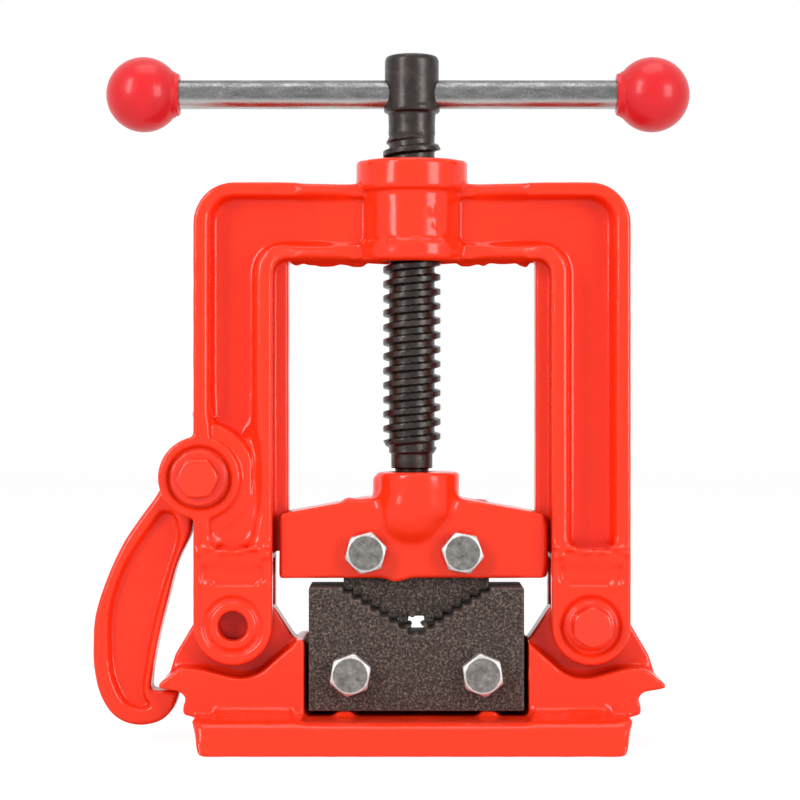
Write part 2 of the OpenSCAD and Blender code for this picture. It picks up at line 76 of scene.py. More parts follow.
# %% [markdown]
# ## Node trees without the clutter
#
# Every finish below is a tree of shader nodes. Wiring them by hand takes three lines a node, so this
# helper adds a node, sets its sockets and links it in one call: a socket's value is a number, a colour,
# or the output of another node. The world's backdrop is such a tree too, so the helper takes either.

# %% A helper for finishes
class Finish:
    """The shader tree of a new material, or of the world, under construction."""

    def __init__(self, name, world=None):
        self.owner = world or bpy.data.materials.new(name)
        self.owner.use_nodes = True
        self.tree = self.owner.node_tree
        self.tree.nodes.clear()

    def add(self, kind, inputs=None, **settings):
        """Adds a node with its settings, and sets or links its sockets."""
        node = self.tree.nodes.new("ShaderNode" + kind)
        for key, value in settings.items():
            setattr(node, key, value)
        for key, value in (inputs or {}).items():
            socket = node.inputs[key]
            if isinstance(value, bpy.types.NodeSocket):
                self.tree.links.new(value, socket)
            else:
                socket.default_value = value
        return node

    def noise(self, size_mm, detail=2.0, roughness=0.5, where=None):
        """Noise whose blobs are about size_mm across."""
        where = where or self.place()
        node = self.add("TexNoise", {"Vector": where, "Scale": 1000.0 / size_mm, "Detail": detail,
                                     "Roughness": roughness})
        return node.outputs["Fac"]

    def place(self):
        """Where a point is on the piece, in metres."""
        return self.add("TexCoord").outputs["Object"]

    def math(self, operation, a, b=0.0):
        """One step of arithmetic on two values."""
        return self.add("Math", {0: a, 1: b}, operation=operation).outputs[0]

    def ramp(self, value, stops):
        """A colour ramp: stops is a list of (position, grey or colour)."""
        node = self.add("ValToRGB", {"Fac": value})
        points = node.color_ramp.elements
        while len(points) < len(stops):
            points.new(0.5)
        for point, (position, colour) in zip(points, stops):
            point.position = position
            point.color = (*colour, 1) if isinstance(colour, tuple) else (colour,) * 3 + (1,)
        return node.outputs["Color"]

    def mix(self, factor, a, b):
        """Colour a where the factor is 0 and colour b where it is 1."""
        node = self.add("Mix", data_type="RGBA")
        for key, value in (("Factor", factor), ("A", a), ("B", b)):
            kinds = "VALUE" if key == "Factor" else "RGBA"
            socket = next(s for s in node.inputs if s.name == key and s.type == kinds)
            if isinstance(value, bpy.types.NodeSocket):
                self.tree.links.new(value, socket)
            else:
                socket.default_value = (*value, 1) if isinstance(value, tuple) else value
        return next(s for s in node.outputs if s.type == "RGBA")

    def bump(self, height, depth_mm, normal=None):
        """A skin that stands depth_mm proud where the height is 1, on top of another bump if one is given."""
        inputs = {"Height": height, "Distance": depth_mm * MM, "Strength": 1.0}
        if normal is not None:
            inputs["Normal"] = normal
        return self.add("Bump", inputs).outputs["Normal"]

    def done(self, **sockets):
        """Ends the tree in a Principled shader and returns the material."""
        names = {key: key.replace("_", " ") for key in sockets}
        shader = self.add("BsdfPrincipled", {names[k]: v for k, v in sockets.items()})
        self.add("OutputMaterial", {"Surface": shader.outputs["BSDF"]})
        return self.owner


# %% [markdown]
# ## Floor, backdrop and light
#
# Catalogue shots have a white sweep and soft light from both sides. The floor is pale and takes a faint
# shadow; what the camera and the mirror-like parts see behind the tool is plain white.

# %% Floor
FLOOR_HALF = 3.0
FLOOR_DROP = 0.1 * MM  # the floor lies a hair low, because the base's cast underside isn't quite flat
WHITE = (1, 1, 1, 1)
PAPER = (0.8, 0.8, 0.8, 1)
GLOW, GLOW_SHARE = 1.1, 0.86


def directly_seen(finish):
    """1 for a ray from the camera, off a gloss or through glass, and 0 for the rays that light the vise."""
    rays = finish.add("LightPath")
    seen = finish.math("MAXIMUM", rays.outputs["Is Camera Ray"], rays.outputs["Is Glossy Ray"])
    return finish.math("MAXIMUM", seen, rays.outputs["Is Transmission Ray"])


def stage_finish():
    """Pale paper that mostly glows white where it is seen, and still takes a shadow."""
    finish = Finish("studio_white")
    paper = finish.add("BsdfDiffuse", {"Color": PAPER})
    glow = finish.add("Emission", {"Color": WHITE, "Strength": GLOW})
    share = finish.math("MULTIPLY", directly_seen(finish), GLOW_SHARE)
    both = finish.add("MixShader", {0: share, 1: paper.outputs[0], 2: glow.outputs[0]})
    finish.add("OutputMaterial", {"Surface": both.outputs[0]})
    return finish.owner


corners = [(-FLOOR_HALF, -FLOOR_HALF, 0), (FLOOR_HALF, -FLOOR_HALF, 0), (FLOOR_HALF, FLOOR_HALF, 0),
           (-FLOOR_HALF, FLOOR_HALF, 0)]
floor_mesh = bpy.data.meshes.new("floor")
floor_mesh.from_pydata(corners, [], [(0, 1, 2, 3)])
floor = bpy.data.objects.new("floor", floor_mesh)
bpy.context.scene.collection.objects.link(floor)
floor.data.materials.append(stage_finish())
floor.location.z = -FLOOR_DROP
print("floor:", 2 * FLOOR_HALF, "m across")

# %% [markdown]
# The sky is a dim even fill, which the camera and the glossy faces see as plain white. Three area lamps
# do the rest: a narrow one on the left draws the crisp lines on the drum and the knobs, a broad one on
# the right fills the other side, and one overhead lights the tops.

# %% World and lamps
FILL = 0.34

world = bpy.data.worlds.new("studio")
bpy.context.scene.world = world
backdrop = Finish("studio", world)
fill = backdrop.add("Background", {"Color": WHITE, "Strength": FILL})
white = backdrop.add("Background", {"Color": WHITE, "Strength": 1.0})
both = backdrop.add("MixShader", {0: directly_seen(backdrop), 1: fill.outputs[0], 2: white.outputs[0]})
backdrop.add("OutputWorld", {"Surface": both.outputs[0]})

AIM = Vector((0, 0, 110 * MM))


def softbox(name, direction, distance, width, height, watts):
    """An area lamp that looks at the middle of the vise."""
    data = bpy.data.lights.new(name, "AREA")
    data.shape = "RECTANGLE"
    data.size = width
    data.size_y = height
    data.energy = watts
    lamp = bpy.data.objects.new(name, data)
    lamp.location = AIM + Vector(direction).normalized() * distance
    lamp.rotation_euler = (AIM - lamp.location).to_track_quat("-Z", "Y").to_euler()
    bpy.context.scene.collection.objects.link(lamp)
    print(name, watts, "W")


softbox("left_softbox", (-0.68, -0.70, 0.42), distance=1.5, width=0.34, height=1.0, watts=12)
softbox("right_softbox", (0.70, -0.68, 0.16), distance=1.6, width=0.6, height=0.9, watts=13)
softbox("top_softbox", (0.05, -0.12, 1.0), distance=1.4, width=1.0, height=0.8, watts=6)

# %% [markdown]
# ## Finishes
#
# Red enamel first. The real vise is dipped or sprayed thick over a rough casting, so the paint is glossy but
# wavy. Its colour also carries painted shade, darker in corners, hollows and between pieces. It is paler over
# an edge, partly where the paint thins and partly as a painted highlight. Two things tell the shader where
# that is. A mesh attribute called relief, measured on each casting below, is 0.5 on flat skin, less in a
# hollow and more on a ridge. The ambient occlusion node finds what is shut in between pieces. A second
# attribute, sunlit, keeps that painted shade off the open top of the plinth.

# %% Red enamel
ENAMEL = (0.92, 0.034, 0.007)
ENAMEL_PAINTED_SHADE = (0.45, 0.006, 0.003)
ENAMEL_THIN_AND_HIGHLIT = (1.0, 0.07, 0.03)
SHUT_IN_REACH = 9 * MM


def enamel_finish(name, seed, wet=0.5):
    """Thick red paint, whose colour carries painted shade in hollows and shut-in places and is paler over
    ridges, partly as a painted highlight. The seed moves its clouds, and wet is the weight of its clear coat.
    """
    finish = Finish(name)
    shifted = finish.add("VectorMath", {0: finish.place(), 1: (seed * 0.37, seed * 0.11, 0)},
                         operation="ADD").outputs[0]
    relief = finish.add("Attribute", attribute_name="relief").outputs["Fac"]
    hollow = finish.ramp(relief, [(0.0, 1.0), (0.46, 0.0)])
    ridge = finish.ramp(relief, [(0.56, 0.0), (1.0, 1.0)])
    cloudy = finish.noise(28, 3, 0.5, shifted)
    tone = finish.mix(cloudy, tuple(c * 0.94 for c in ENAMEL), tuple(min(1, c * 1.06) for c in ENAMEL))
    # painted shade: the colour turns a darker red where the occlusion node finds the skin shut in, and in the
    # hollows of the relief
    open_to_air = finish.add("AmbientOcclusion", {"Distance": SHUT_IN_REACH}, samples=6).outputs["AO"]
    shut_in = finish.ramp(open_to_air, [(0.12, 1.0), (0.62, 0.0)])
    sunlit = finish.add("Attribute", attribute_name="sunlit").outputs["Fac"]
    shut_in = finish.math("MULTIPLY", shut_in, finish.math("SUBTRACT", 0.9, sunlit))
    painted_shade = finish.math("MAXIMUM", finish.math("MULTIPLY", hollow, 0.6), shut_in)
    tone = finish.mix(painted_shade, tone, ENAMEL_PAINTED_SHADE)
    # paler over ridges: partly thin paint, partly a painted highlight
    tone = finish.mix(finish.math("MULTIPLY", ridge, 0.35), tone, ENAMEL_THIN_AND_HIGHLIT)
    waves = finish.bump(finish.noise(6.5, 2, 0.5, shifted), 0.32)
    skin = finish.bump(finish.noise(1.3, 1, 0.5, shifted), 0.03, waves)
    gloss = finish.ramp(finish.noise(14, 3, 0.6, shifted), [(0.3, 0.2), (0.75, 0.36)])
    # nothing bright lies below the vise, so faces that look down hardly shine
    facing = finish.add("SeparateXYZ", {0: finish.add("TexCoord").outputs["Normal"]}).outputs["Z"]
    lit = finish.add("MapRange", {"Value": facing, "From Min": -0.75, "From Max": -0.2}).outputs[0]
    shine = finish.math("MULTIPLY", lit, finish.math("SUBTRACT", 1.0, finish.math("MULTIPLY", painted_shade, 0.7)))
    return finish.done(Base_Color=tone, Roughness=gloss, Normal=skin,
                       Coat_Weight=finish.math("MULTIPLY", shine, wet), Coat_Roughness=0.14,
                       Specular_IOR_Level=finish.math("MULTIPLY", shine, 0.08))


enamels = {part: enamel_finish("enamel_" + part, i)
           for i, part in enumerate(("yoke", "base", "latch", "crosshead"))}
enamels["bolt"] = enamel_finish("enamel_bolt", 4, wet=0.75)
print("enamels:", ", ".join(enamels))

# %% [markdown]
# The jaws are hardened, blasted and oiled: a dark brown-grey with bright grains all over, and paler along
# every ridge: bare metal on the steps where pipes have been gripped, and a painted highlight along the
# block's edges.

# %% Jaw steel
def jaw_finish():
    finish = Finish("jaw_steel")
    relief = finish.add("Attribute", attribute_name="relief").outputs["Fac"]
    grains = finish.noise(0.85, 3, 0.75)
    blotches = finish.noise(5, 3, 0.6)
    tone = finish.ramp(grains, [(0.36, (0.014, 0.0095, 0.008)), (0.52, (0.055, 0.04, 0.034)),
                                (0.66, (0.21, 0.165, 0.14))])
    tone = finish.mix(finish.math("MULTIPLY", blotches, 0.3), tone, (0.085, 0.06, 0.045))
    # paler along ridges: wear on the steps, and a painted highlight on the block's edges
    wear_and_sheen = finish.ramp(relief, [(0.58, 0.0), (0.8, 1.0)])
    tone = finish.mix(finish.math("MULTIPLY", wear_and_sheen, 0.35), tone, (0.24, 0.2, 0.18))
    rough = finish.ramp(grains, [(0.35, 0.8), (0.7, 0.55)])
    pits = finish.bump(grains, 0.16)
    return finish.done(Base_Color=tone, Metallic=0.25, Roughness=rough, Normal=pits,
                       Specular_IOR_Level=0.3)


jaw_steel = jaw_finish()

# %% [markdown]
# Bolts, nuts and washers are zinc plated, with soft cloudy marks: dull on the faces, and bright where a mesh
# attribute says so, partly where hands and spanners have worn them and partly as a painted highlight on the
# chamfers and flats. The handle bar is plated too but polished, with a smeared film of oil, so its roughness
# changes in long patches; the same attribute marks a painted reflection along its underside.

# %% Plated steel
def zinc_finish():
    finish = Finish("zinc_plate")
    cloud = finish.ramp(finish.noise(2.2, 4, 0.65), [(0.3, 0.0), (0.72, 1.0)])
    # bright where the mesh attribute marks it: partly wear, partly a painted highlight on chamfers and flats
    wear_and_sheen = finish.add("Attribute", attribute_name="rub_and_sheen").outputs["Fac"]
    dull = finish.mix(cloud, (0.105, 0.1, 0.092), (0.31, 0.3, 0.285))
    bright = finish.mix(cloud, (0.46, 0.44, 0.43), (0.76, 0.75, 0.74))
    tone = finish.mix(wear_and_sheen, dull, bright)
    rough = finish.ramp(finish.noise(1.6, 3, 0.6), [(0.3, 0.34), (0.7, 0.5)])
    dents = finish.bump(finish.noise(1.8, 2, 0.5), 0.035)
    return finish.done(Base_Color=tone, Metallic=0.72, Roughness=rough, Normal=dents)


def bar_finish():
    finish = Finish("bar_plate")
    streaky = finish.add("Mapping", {"Vector": finish.place(), "Scale": (0.3, 1.0, 1.0)})
    patches = finish.noise(2.0, 4, 0.6, streaky.outputs[0])
    painted_reflection = finish.add("Attribute", attribute_name="rub_and_sheen").outputs["Fac"]
    film = finish.ramp(patches, [(0.35, (0.13, 0.13, 0.13)), (0.6, (0.21, 0.21, 0.21)),
                                 (0.78, (0.33, 0.33, 0.33))])
    specks = finish.ramp(finish.noise(0.7, 2, 0.7), [(0.56, 0.0), (0.72, 1.0)])
    film = finish.mix(finish.math("MULTIPLY", specks, 0.5), film, (0.5, 0.5, 0.5))
    # a painted reflection: lighter along the bar's underside, where the attribute marks it
    tone = finish.mix(painted_reflection, film, (0.5, 0.5, 0.49))
    rough = finish.ramp(patches, [(0.3, 0.44), (0.62, 0.26)])
    rubs = finish.bump(finish.noise(2.2, 3, 0.6, streaky.outputs[0]), 0.035)
    return finish.done(Base_Color=tone, Metallic=1.0, Roughness=rough, Normal=rubs)


zinc = zinc_finish()
bar_plate = bar_finish()
print("plated finishes:", zinc.name, bar_plate.name)

# %% [markdown]
# The screw keeps its brown-black forging scale, oiled to a dull shine. The pins are ground steel.

# %% Screw and pin steel
def oxide_finish():
    finish = Finish("brown_oxide")
    scale = finish.noise(4, 4, 0.6)
    tone = finish.ramp(scale, [(0.3, (0.008, 0.005, 0.004)), (0.55, (0.022, 0.013, 0.01)),
                               (0.78, (0.052, 0.04, 0.034))])
    rough = finish.ramp(finish.noise(2.5, 3, 0.6), [(0.3, 0.24), (0.7, 0.52)])
    skin = finish.bump(finish.noise(1.4, 3, 0.6), 0.1, finish.bump(finish.noise(5.0, 2, 0.5), 0.3))
    return finish.done(Base_Color=tone, Metallic=0.55, Roughness=rough, Normal=skin, Coat_Weight=0.3,
                       Coat_Roughness=0.25)


def ground_finish():
    finish = Finish("ground_steel")
    grain = finish.add("Mapping", {"Vector": finish.place(), "Scale": (1.0, 12.0, 1.0)})
    lines = finish.noise(1.2, 3, 0.6, grain.outputs[0])
    tone = finish.mix(lines, (0.42, 0.41, 0.4), (0.66, 0.65, 0.63))
    return finish.done(Base_Color=tone, Metallic=1.0, Roughness=0.32,
                       Normal=finish.bump(lines, 0.01))


oxide = oxide_finish()
ground_steel = ground_finish()
print("dark and ground steel:", oxide.name, ground_steel.name)

# %% [markdown]
# The knobs are moulded plastic, pressed on the bar's ends: a pinker red than the enamel, evenly glossy,
# with only a faint flow pattern.

# %% Knob plastic
def knob_finish():
    finish = Finish("knob_plastic")
    flow = finish.noise(11, 2, 0.5)
    tone = finish.mix(flow, (0.66, 0.008, 0.014), (0.76, 0.016, 0.022))
    ripple = finish.bump(finish.noise(5, 1, 0.5), 0.03)
    return finish.done(Base_Color=tone, Roughness=0.36, Normal=ripple, Coat_Weight=0.2,
                       Coat_Roughness=0.14, Specular_IOR_Level=0.25)


knob_plastic = knob_finish()
print("knobs:", knob_plastic.name)

# %% [markdown]
# ## Making castings out of solids
#
# The frame's solids are exact and sharp. Sand castings are not: their corners are round, inner corners
# are filleted, and their faces wave a little. Remeshing a copy into small voxels, smoothing it, and
# pushing its points with a cloud texture gives all three at once, on any shape. Lumps that belong to the
# casting, such as burrs, are joined to the copy first, so that they melt into it.

# %% Helpers for meshes
def new_object(name, mesh):
    """An object in the scene with this mesh."""
    piece = bpy.data.objects.new(name, mesh)
    bpy.context.scene.collection.objects.link(piece)
    return piece


def settle(piece):
    """Turns the piece's modifiers into plain mesh."""
    graph = bpy.context.evaluated_depsgraph_get()
    mesh = bpy.data.meshes.new_from_object(piece.evaluated_get(graph))
    piece.modifiers.clear()
    piece.data = mesh
    return piece


def modify(piece, kind, **settings):
    """Adds a modifier with its settings."""
    modifier = piece.modifiers.new(kind.lower(), kind)
    for key, value in settings.items():
        setattr(modifier, key, value)


def shade(piece, sharp_deg=None):
    """Smooth shading, with hard edges where faces meet at more than sharp_deg."""
    shape = bmesh.new()
    shape.from_mesh(piece.data)
    for face in shape.faces:
        face.smooth = True
    if sharp_deg is not None:
        for edge in shape.edges:
            flat = len(edge.link_faces) != 2
            edge.smooth = not (flat or edge.calc_face_angle() > math.radians(sharp_deg))
    shape.to_mesh(piece.data)
    shape.free()
    return piece


def points_of(mesh):
    """The places of a mesh's points, one row each."""
    flat = np.empty(len(mesh.vertices) * 3, dtype=np.float32)
    mesh.vertices.foreach_get("co", flat)
    return flat.reshape(-1, 3)


def copy_of(nodes, name):
    """A new object with the shape of one or more nodes, each welded into one skin."""
    shape = bmesh.new()
    for node in nodes:
        shape.from_mesh(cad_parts[node].data)
    mesh = bpy.data.meshes.new(name)
    shape.to_mesh(mesh)
    shape.free()
    piece = new_object(name, mesh)
    modify(piece, "WELD", merge_threshold=0.002 * MM)
    return settle(piece)


def join(piece, lumps):
    """Adds the lumps' faces to the piece, and removes the lumps."""
    shape = bmesh.new()
    shape.from_mesh(piece.data)
    for extra in lumps:
        shape.from_mesh(extra.data)
        bpy.data.objects.remove(extra)
    shape.to_mesh(piece.data)
    shape.free()


# %% [markdown]
# Burrs, drips and scars are all small lumps of iron or paint. A ball whose points are pushed in and out
# by noise gives any of them, from a thin plate to a pebble, and no two look alike.

# %% Lumps: burrs, drips and scars of the foundry
def lump(at_mm, size_mm, seed, uneven=0.3, blunt=1.0):
    """An uneven pebble with half-axes of size_mm, centred at a place in mm. A low blunt makes it a slab."""
    shape = bmesh.new()
    bmesh.ops.create_icosphere(shape, subdivisions=3, radius=1.0)
    for point in shape.verts:
        swell = 1 + uneven * noise.noise(point.co * 1.6 + Vector((seed * 3.1, seed * 1.7, 0)))
        point.co = Vector([math.copysign(abs(c) ** blunt, c) for c in point.co])
        point.co = Vector([(point.co[i] * swell * size_mm[i] + at_mm[i]) * MM for i in range(3)])
    mesh = bpy.data.meshes.new("lump")
    shape.to_mesh(mesh)
    shape.free()
    return new_object("lump", mesh)


# %% [markdown]
# The enamel paints shade into hollows and makes ridges paler, partly as thin paint and partly as a painted
# highlight. To find both, a copy of the mesh is smoothed far: where the true skin stands above its smooth
# copy there is a ridge, and where it lies below there is a hollow.

# %% Relief: which points lie on a ridge and which in a hollow
def mark_relief(piece, reach, span_mm):
    """Stores 0.5 on flat skin, less in hollows and more on ridges."""
    smooth = new_object("smooth_copy", piece.data.copy())
    modify(smooth, "SMOOTH", factor=0.5, iterations=reach)
    settle(smooth)
    here = points_of(piece.data)
    there = points_of(smooth.data)
    normals = np.empty(len(here) * 3, dtype=np.float32)
    piece.data.vertices.foreach_get("normal", normals)
    height = ((here - there) * normals.reshape(-1, 3)).sum(1)
    value = np.clip(0.5 + height / (span_mm * MM), 0, 1).astype(np.float32)
    relief = piece.data.attributes.new("relief", "FLOAT", "POINT")
    relief.data.foreach_set("value", value)
    bpy.data.objects.remove(smooth)
    return piece


# %% [markdown]
# Now the recipe itself. Cutters come off first and lumps go on next, then the voxel remesh makes one
# skin of them all. A rule called melt can wear some places softer than the rest, as blunt sand cores do.

# %% The casting recipe
MELT_PASSES = 110
RELIEF_PASSES, RELIEF_SPAN = 18, 0.9


def between(value, low, high, blend):
    """1 well inside a range and 0 outside it, with a linear blend at its ends."""
    return min(1.0, max(0.0, (value - low) / blend)) * min(1.0, max(0.0, (high - value) / blend))


def without_crumbs(piece):
    """Deletes what no edge joins to the main skin: bubbles and loose bits that the remesh leaves."""
    mesh = piece.data
    ends = np.empty(len(mesh.edges) * 2, dtype=np.int32)
    mesh.edges.foreach_get("vertices", ends)
    first, second = ends.reshape(-1, 2).T
    label = np.arange(len(mesh.vertices))
    settled = False
    while not settled:
        before = label.copy()
        lowest = np.minimum(label[first], label[second])
        np.minimum.at(label, first, lowest)
        np.minimum.at(label, second, lowest)
        label = label[label]
        settled = bool((label == before).all())
    main = np.bincount(label).argmax()
    if (label == main).all():
        return
    shape = bmesh.new()
    shape.from_mesh(mesh)
    shape.verts.ensure_lookup_table()
    crumbs = [shape.verts[i] for i in np.nonzero(label != main)[0]]
    bmesh.ops.delete(shape, geom=crumbs, context="VERTS")
    shape.to_mesh(mesh)
    shape.free()
    print(piece.name, "crumbs removed:", len(crumbs))


def casting(nodes, name, lumps=(), *, voxel, soften, wave_mm=0.16, grain_mm=9.0, melt=None,
            cutters=(), grow_mm=0.0):
    """One rough casting of the nodes' shape, less the cutters and with the lumps.

    voxel is the size of its grains in mm, soften the count of its smoothing passes, and grow_mm how far
    its whole skin moves out. melt says how soft, from 0 to 1, each place in mm is worn.
    """
    piece = copy_of(nodes, name)
    for cutter in cutters:
        modify(piece, "BOOLEAN", object=cutter, operation="DIFFERENCE", solver="EXACT")
        settle(piece)
        bpy.data.objects.remove(cutter)
    join(piece, lumps)
    modify(piece, "REMESH", mode="VOXEL", voxel_size=voxel * MM, use_smooth_shade=True)
    modify(piece, "SMOOTH", factor=0.5, iterations=soften)
    if melt:
        settle(piece)
        group = piece.vertex_groups.new(name="melt")
        for index, (x, y, z) in enumerate((points_of(piece.data) / MM).tolist()):
            weight = melt(x, y, z)
            if weight > 0:
                group.add([index], weight, "REPLACE")
        modify(piece, "SMOOTH", factor=0.5, iterations=MELT_PASSES, vertex_group="melt")
    modify(piece, "DISPLACE", strength=grow_mm * MM, mid_level=0.0)
    cloud = bpy.data.textures.new(name + "_waves", "CLOUDS")
    cloud.noise_scale = grain_mm * MM
    cloud.noise_depth = 1
    modify(piece, "DISPLACE", texture=cloud, texture_coords="LOCAL", strength=wave_mm * MM,
           mid_level=0.5)
    settle(piece)
    without_crumbs(piece)
    mark_relief(piece, RELIEF_PASSES, RELIEF_SPAN)
    shade(piece)
    print(name, "faces:", len(piece.data.polygons))
    return piece


def fit(piece, body, slot, material, *nodes):
    """Gives a piece its finish, its body, and the nodes that it stands for."""
    piece.data.materials.clear()
    piece.data.materials.append(material)
    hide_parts(*nodes)
    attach(piece, body)
    print(piece.name, "rides on", body)


# %% [markdown]
# ## Turned and threaded parts
#
# A turned part is a stack of rings around an axis. `skin` joins such rings, or any other closed loops
# with equal counts of points, and `place_along` lays the result on its axis. The yoke's nut boss needs
# these helpers too, so they come before the castings.

# %% Rings and skins
def skin(name, rings, closed=False):
    """One skin through the rings. Its ends are capped, or joined to each other when closed."""
    count = len(rings[0])
    pairs = [(i, i + 1) for i in range(len(rings) - 1)] + ([(len(rings) - 1, 0)] if closed else [])
    faces = [(a * count + j, a * count + (j + 1) % count, b * count + (j + 1) % count, b * count + j)
             for a, b in pairs for j in range(count)]
    if not closed:
        last = (len(rings) - 1) * count
        faces += [tuple(range(count - 1, -1, -1)), tuple(range(last, last + count))]
    mesh = bpy.data.meshes.new(name)
    mesh.from_pydata([point for ring in rings for point in ring], [], faces)
    mesh.update()
    return new_object(name, mesh)


def ring(radius, height, sides=96):
    """A ring around Z. The radius is a number, or a function of the angle."""
    out = []
    for i in range(sides):
        angle = 2 * math.pi * i / sides
        r = radius(angle) if callable(radius) else radius
        z = height(angle) if callable(height) else height
        out.append((r * MM * math.cos(angle), r * MM * math.sin(angle), z * MM))
    return out


def mark(piece, name, rule):
    """Stores a value of 0 to 1 at each point, by a rule that takes its local place in mm."""
    values = [float(rule(*(point.co / MM))) for point in piece.data.vertices]
    piece.data.attributes.new(name, "FLOAT", "POINT").data.foreach_set("value", values)
    return piece


def lathe(name, profile, sides=96, closed=False):
    """Turns a profile of (radius, height) in mm around Z."""
    return skin(name, [ring(r, z, sides) for r, z in profile], closed)


def place_along(piece, axis, at_mm, turn_deg=0.0):
    """Puts local Z on the axis, local Y as near to up as it goes, and the origin at a place in mm."""
    axis = Vector(axis).normalized()
    side = Vector((1, 0, 0)) if abs(axis.x) < 0.5 else Vector((0, -1, 0))
    side = (side - axis * side.dot(axis)).normalized()
    up = axis.cross(side)
    basis = Matrix((side, up, axis)).transposed().to_4x4()
    spin = Matrix.Rotation(math.radians(turn_deg), 4, "Z")
    piece.data.transform(Matrix.Translation(Vector(at_mm) * MM) @ basis @ spin)
    return piece


def round_off(points, radius, steps=4):
    """Rounds the inner corners of a profile of (radius, height) points."""
    out = [points[0]]
    for before, here, after in zip(points, points[1:], points[2:]):
        a, b, c = Vector(before), Vector(here), Vector(after)
        cut = min(radius, (a - b).length * 0.45, (c - b).length * 0.45)
        start, end = b + (a - b).normalized() * cut, b + (c - b).normalized() * cut
        for k in range(steps + 1):
            t = k / steps
            out.append(tuple(start * (1 - t) ** 2 + b * 2 * t * (1 - t) + end * t * t))
    return out + [points[-1]]


# %% [markdown]
# ## Yoke
#
# The yoke is one sand casting: an arch of I section with a nut boss on its beam, a lug for the latch, and
# two forked feet. It could be sculpted, but the frame's three solids already hold its sizes, so the
# casting recipe runs on them together. These are the sizes, in mm, that the cuts and lumps are set by.

# %% Sizes of the yoke
YOKE = ("yoke_beam", "yoke_leg_left", "yoke_leg_right")
BEAM_LOW, YOKE_TOP, YOKE_HALF = 166.2, 192.2, 15.0
HINGE_X, HINGE_Z = 61.05, 41.0
LATCH_X, LATCH_Z = -72.5, 91.5
FOOT_X, LIP_Z = 60.9, 66.6
BOTH = (-1, 1)
print("the beam is", round(YOKE_TOP - BEAM_LOW, 1), "mm high")

# %% [markdown]
# Both flanges of the beam fall back towards the boss, and the lower one fades out on the way. A wedge cut
# off each face does that. Two smaller cuts follow: a hollow between the latch lug's ring and the inner
# flange, and the groove round the washer of the latch bolt.

# %% Cuts in the yoke
FALL_TO, CLEAR = 7.6, 0.1
WEDGE_HALF = 50
UPPER_NARROW, UPPER_WIDE = 17, 47
LOWER_NARROW, LOWER_WIDE = 24, 49
GROOVE_IN, GROOVE_OUT, GROOVE_DEEP = 9.1, 10.8, 1.5


def flange_reach(x, narrow, wide):
    """How far a flange reaches at x, in mm: FALL_TO as far out as narrow, then more and more until wide."""
    ease = min(1.0, max(0.0, (abs(x) - narrow) / (wide - narrow)))
    return FALL_TO + (YOKE_HALF + CLEAR - FALL_TO) * ease


def flange_wedge(face, top, narrow, wide):
    """What is cut off the flanges on one face, from below the beam up to top."""
    outline = [(x, face * flange_reach(x, narrow, wide)) for x in range(-WEDGE_HALF, WEDGE_HALF + 1)]
    outline += [(WEDGE_HALF, face * 2 * YOKE_HALF), (-WEDGE_HALF, face * 2 * YOKE_HALF)]
    if face > 0:
        outline.reverse()
    return skin("wedge", [[(x * MM, y * MM, z * MM) for x, y in outline] for z in (top, BEAM_LOW - 3)])


yoke_cuts = [flange_wedge(face, YOKE_TOP + 9, UPPER_NARROW, UPPER_WIDE) for face in BOTH]
yoke_cuts += [flange_wedge(face, BEAM_LOW + 6.5, LOWER_NARROW, LOWER_WIDE) for face in BOTH]
yoke_cuts += [lump((-53.4, face * 15.4, 92), (1.6, 3.6, 16), 0, 0.1, 0.6) for face in BOTH]
groove = lathe("groove", [(GROOVE_IN, -GROOVE_DEEP), (GROOVE_OUT, -GROOVE_DEEP), (GROOVE_OUT, GROOVE_DEEP),
                          (GROOVE_IN, GROOVE_DEEP)], closed=True)
yoke_cuts.append(place_along(groove, (0, 1, 0), (LATCH_X, -YOKE_HALF, LATCH_Z)))
print("cuts in the yoke:", len(yoke_cuts))

# %% [markdown]
# The nut boss is a drum between two rings. The wedges cut into it as well, so it is turned afresh and
# joined to the casting after they are off.

# %% The nut boss
BORE_R, DRUM_R, LOW_RING_R, TOP_RING_R, BOSS_TOP = 10.08, 17.2, 18.7, 19.2, 200.4
boss = lathe("boss", [(BORE_R, BEAM_LOW - 0.5), (LOW_RING_R - 1.1, BEAM_LOW - 0.5),
                      (LOW_RING_R, BEAM_LOW + 0.4), (LOW_RING_R, 171.6), (LOW_RING_R - 0.8, 172.6),
                      (DRUM_R, 173.2), (DRUM_R, 189.2), (DRUM_R + 0.4, 189.9), (TOP_RING_R, 190.2),
                      (TOP_RING_R, BOSS_TOP - 1.0), (TOP_RING_R - 1.0, BOSS_TOP), (BORE_R, BOSS_TOP)],
             closed=True)
print("the boss is", 2 * TOP_RING_R, "mm across its upper ring")

# %% [markdown]
# Flash is the thin iron that leaks between the halves of a mould. Here it was never trimmed, so plates of
# it hang along the back of the beam's underside, with gaps between. Paint has dripped and set where the
# drum stands on its lower ring.

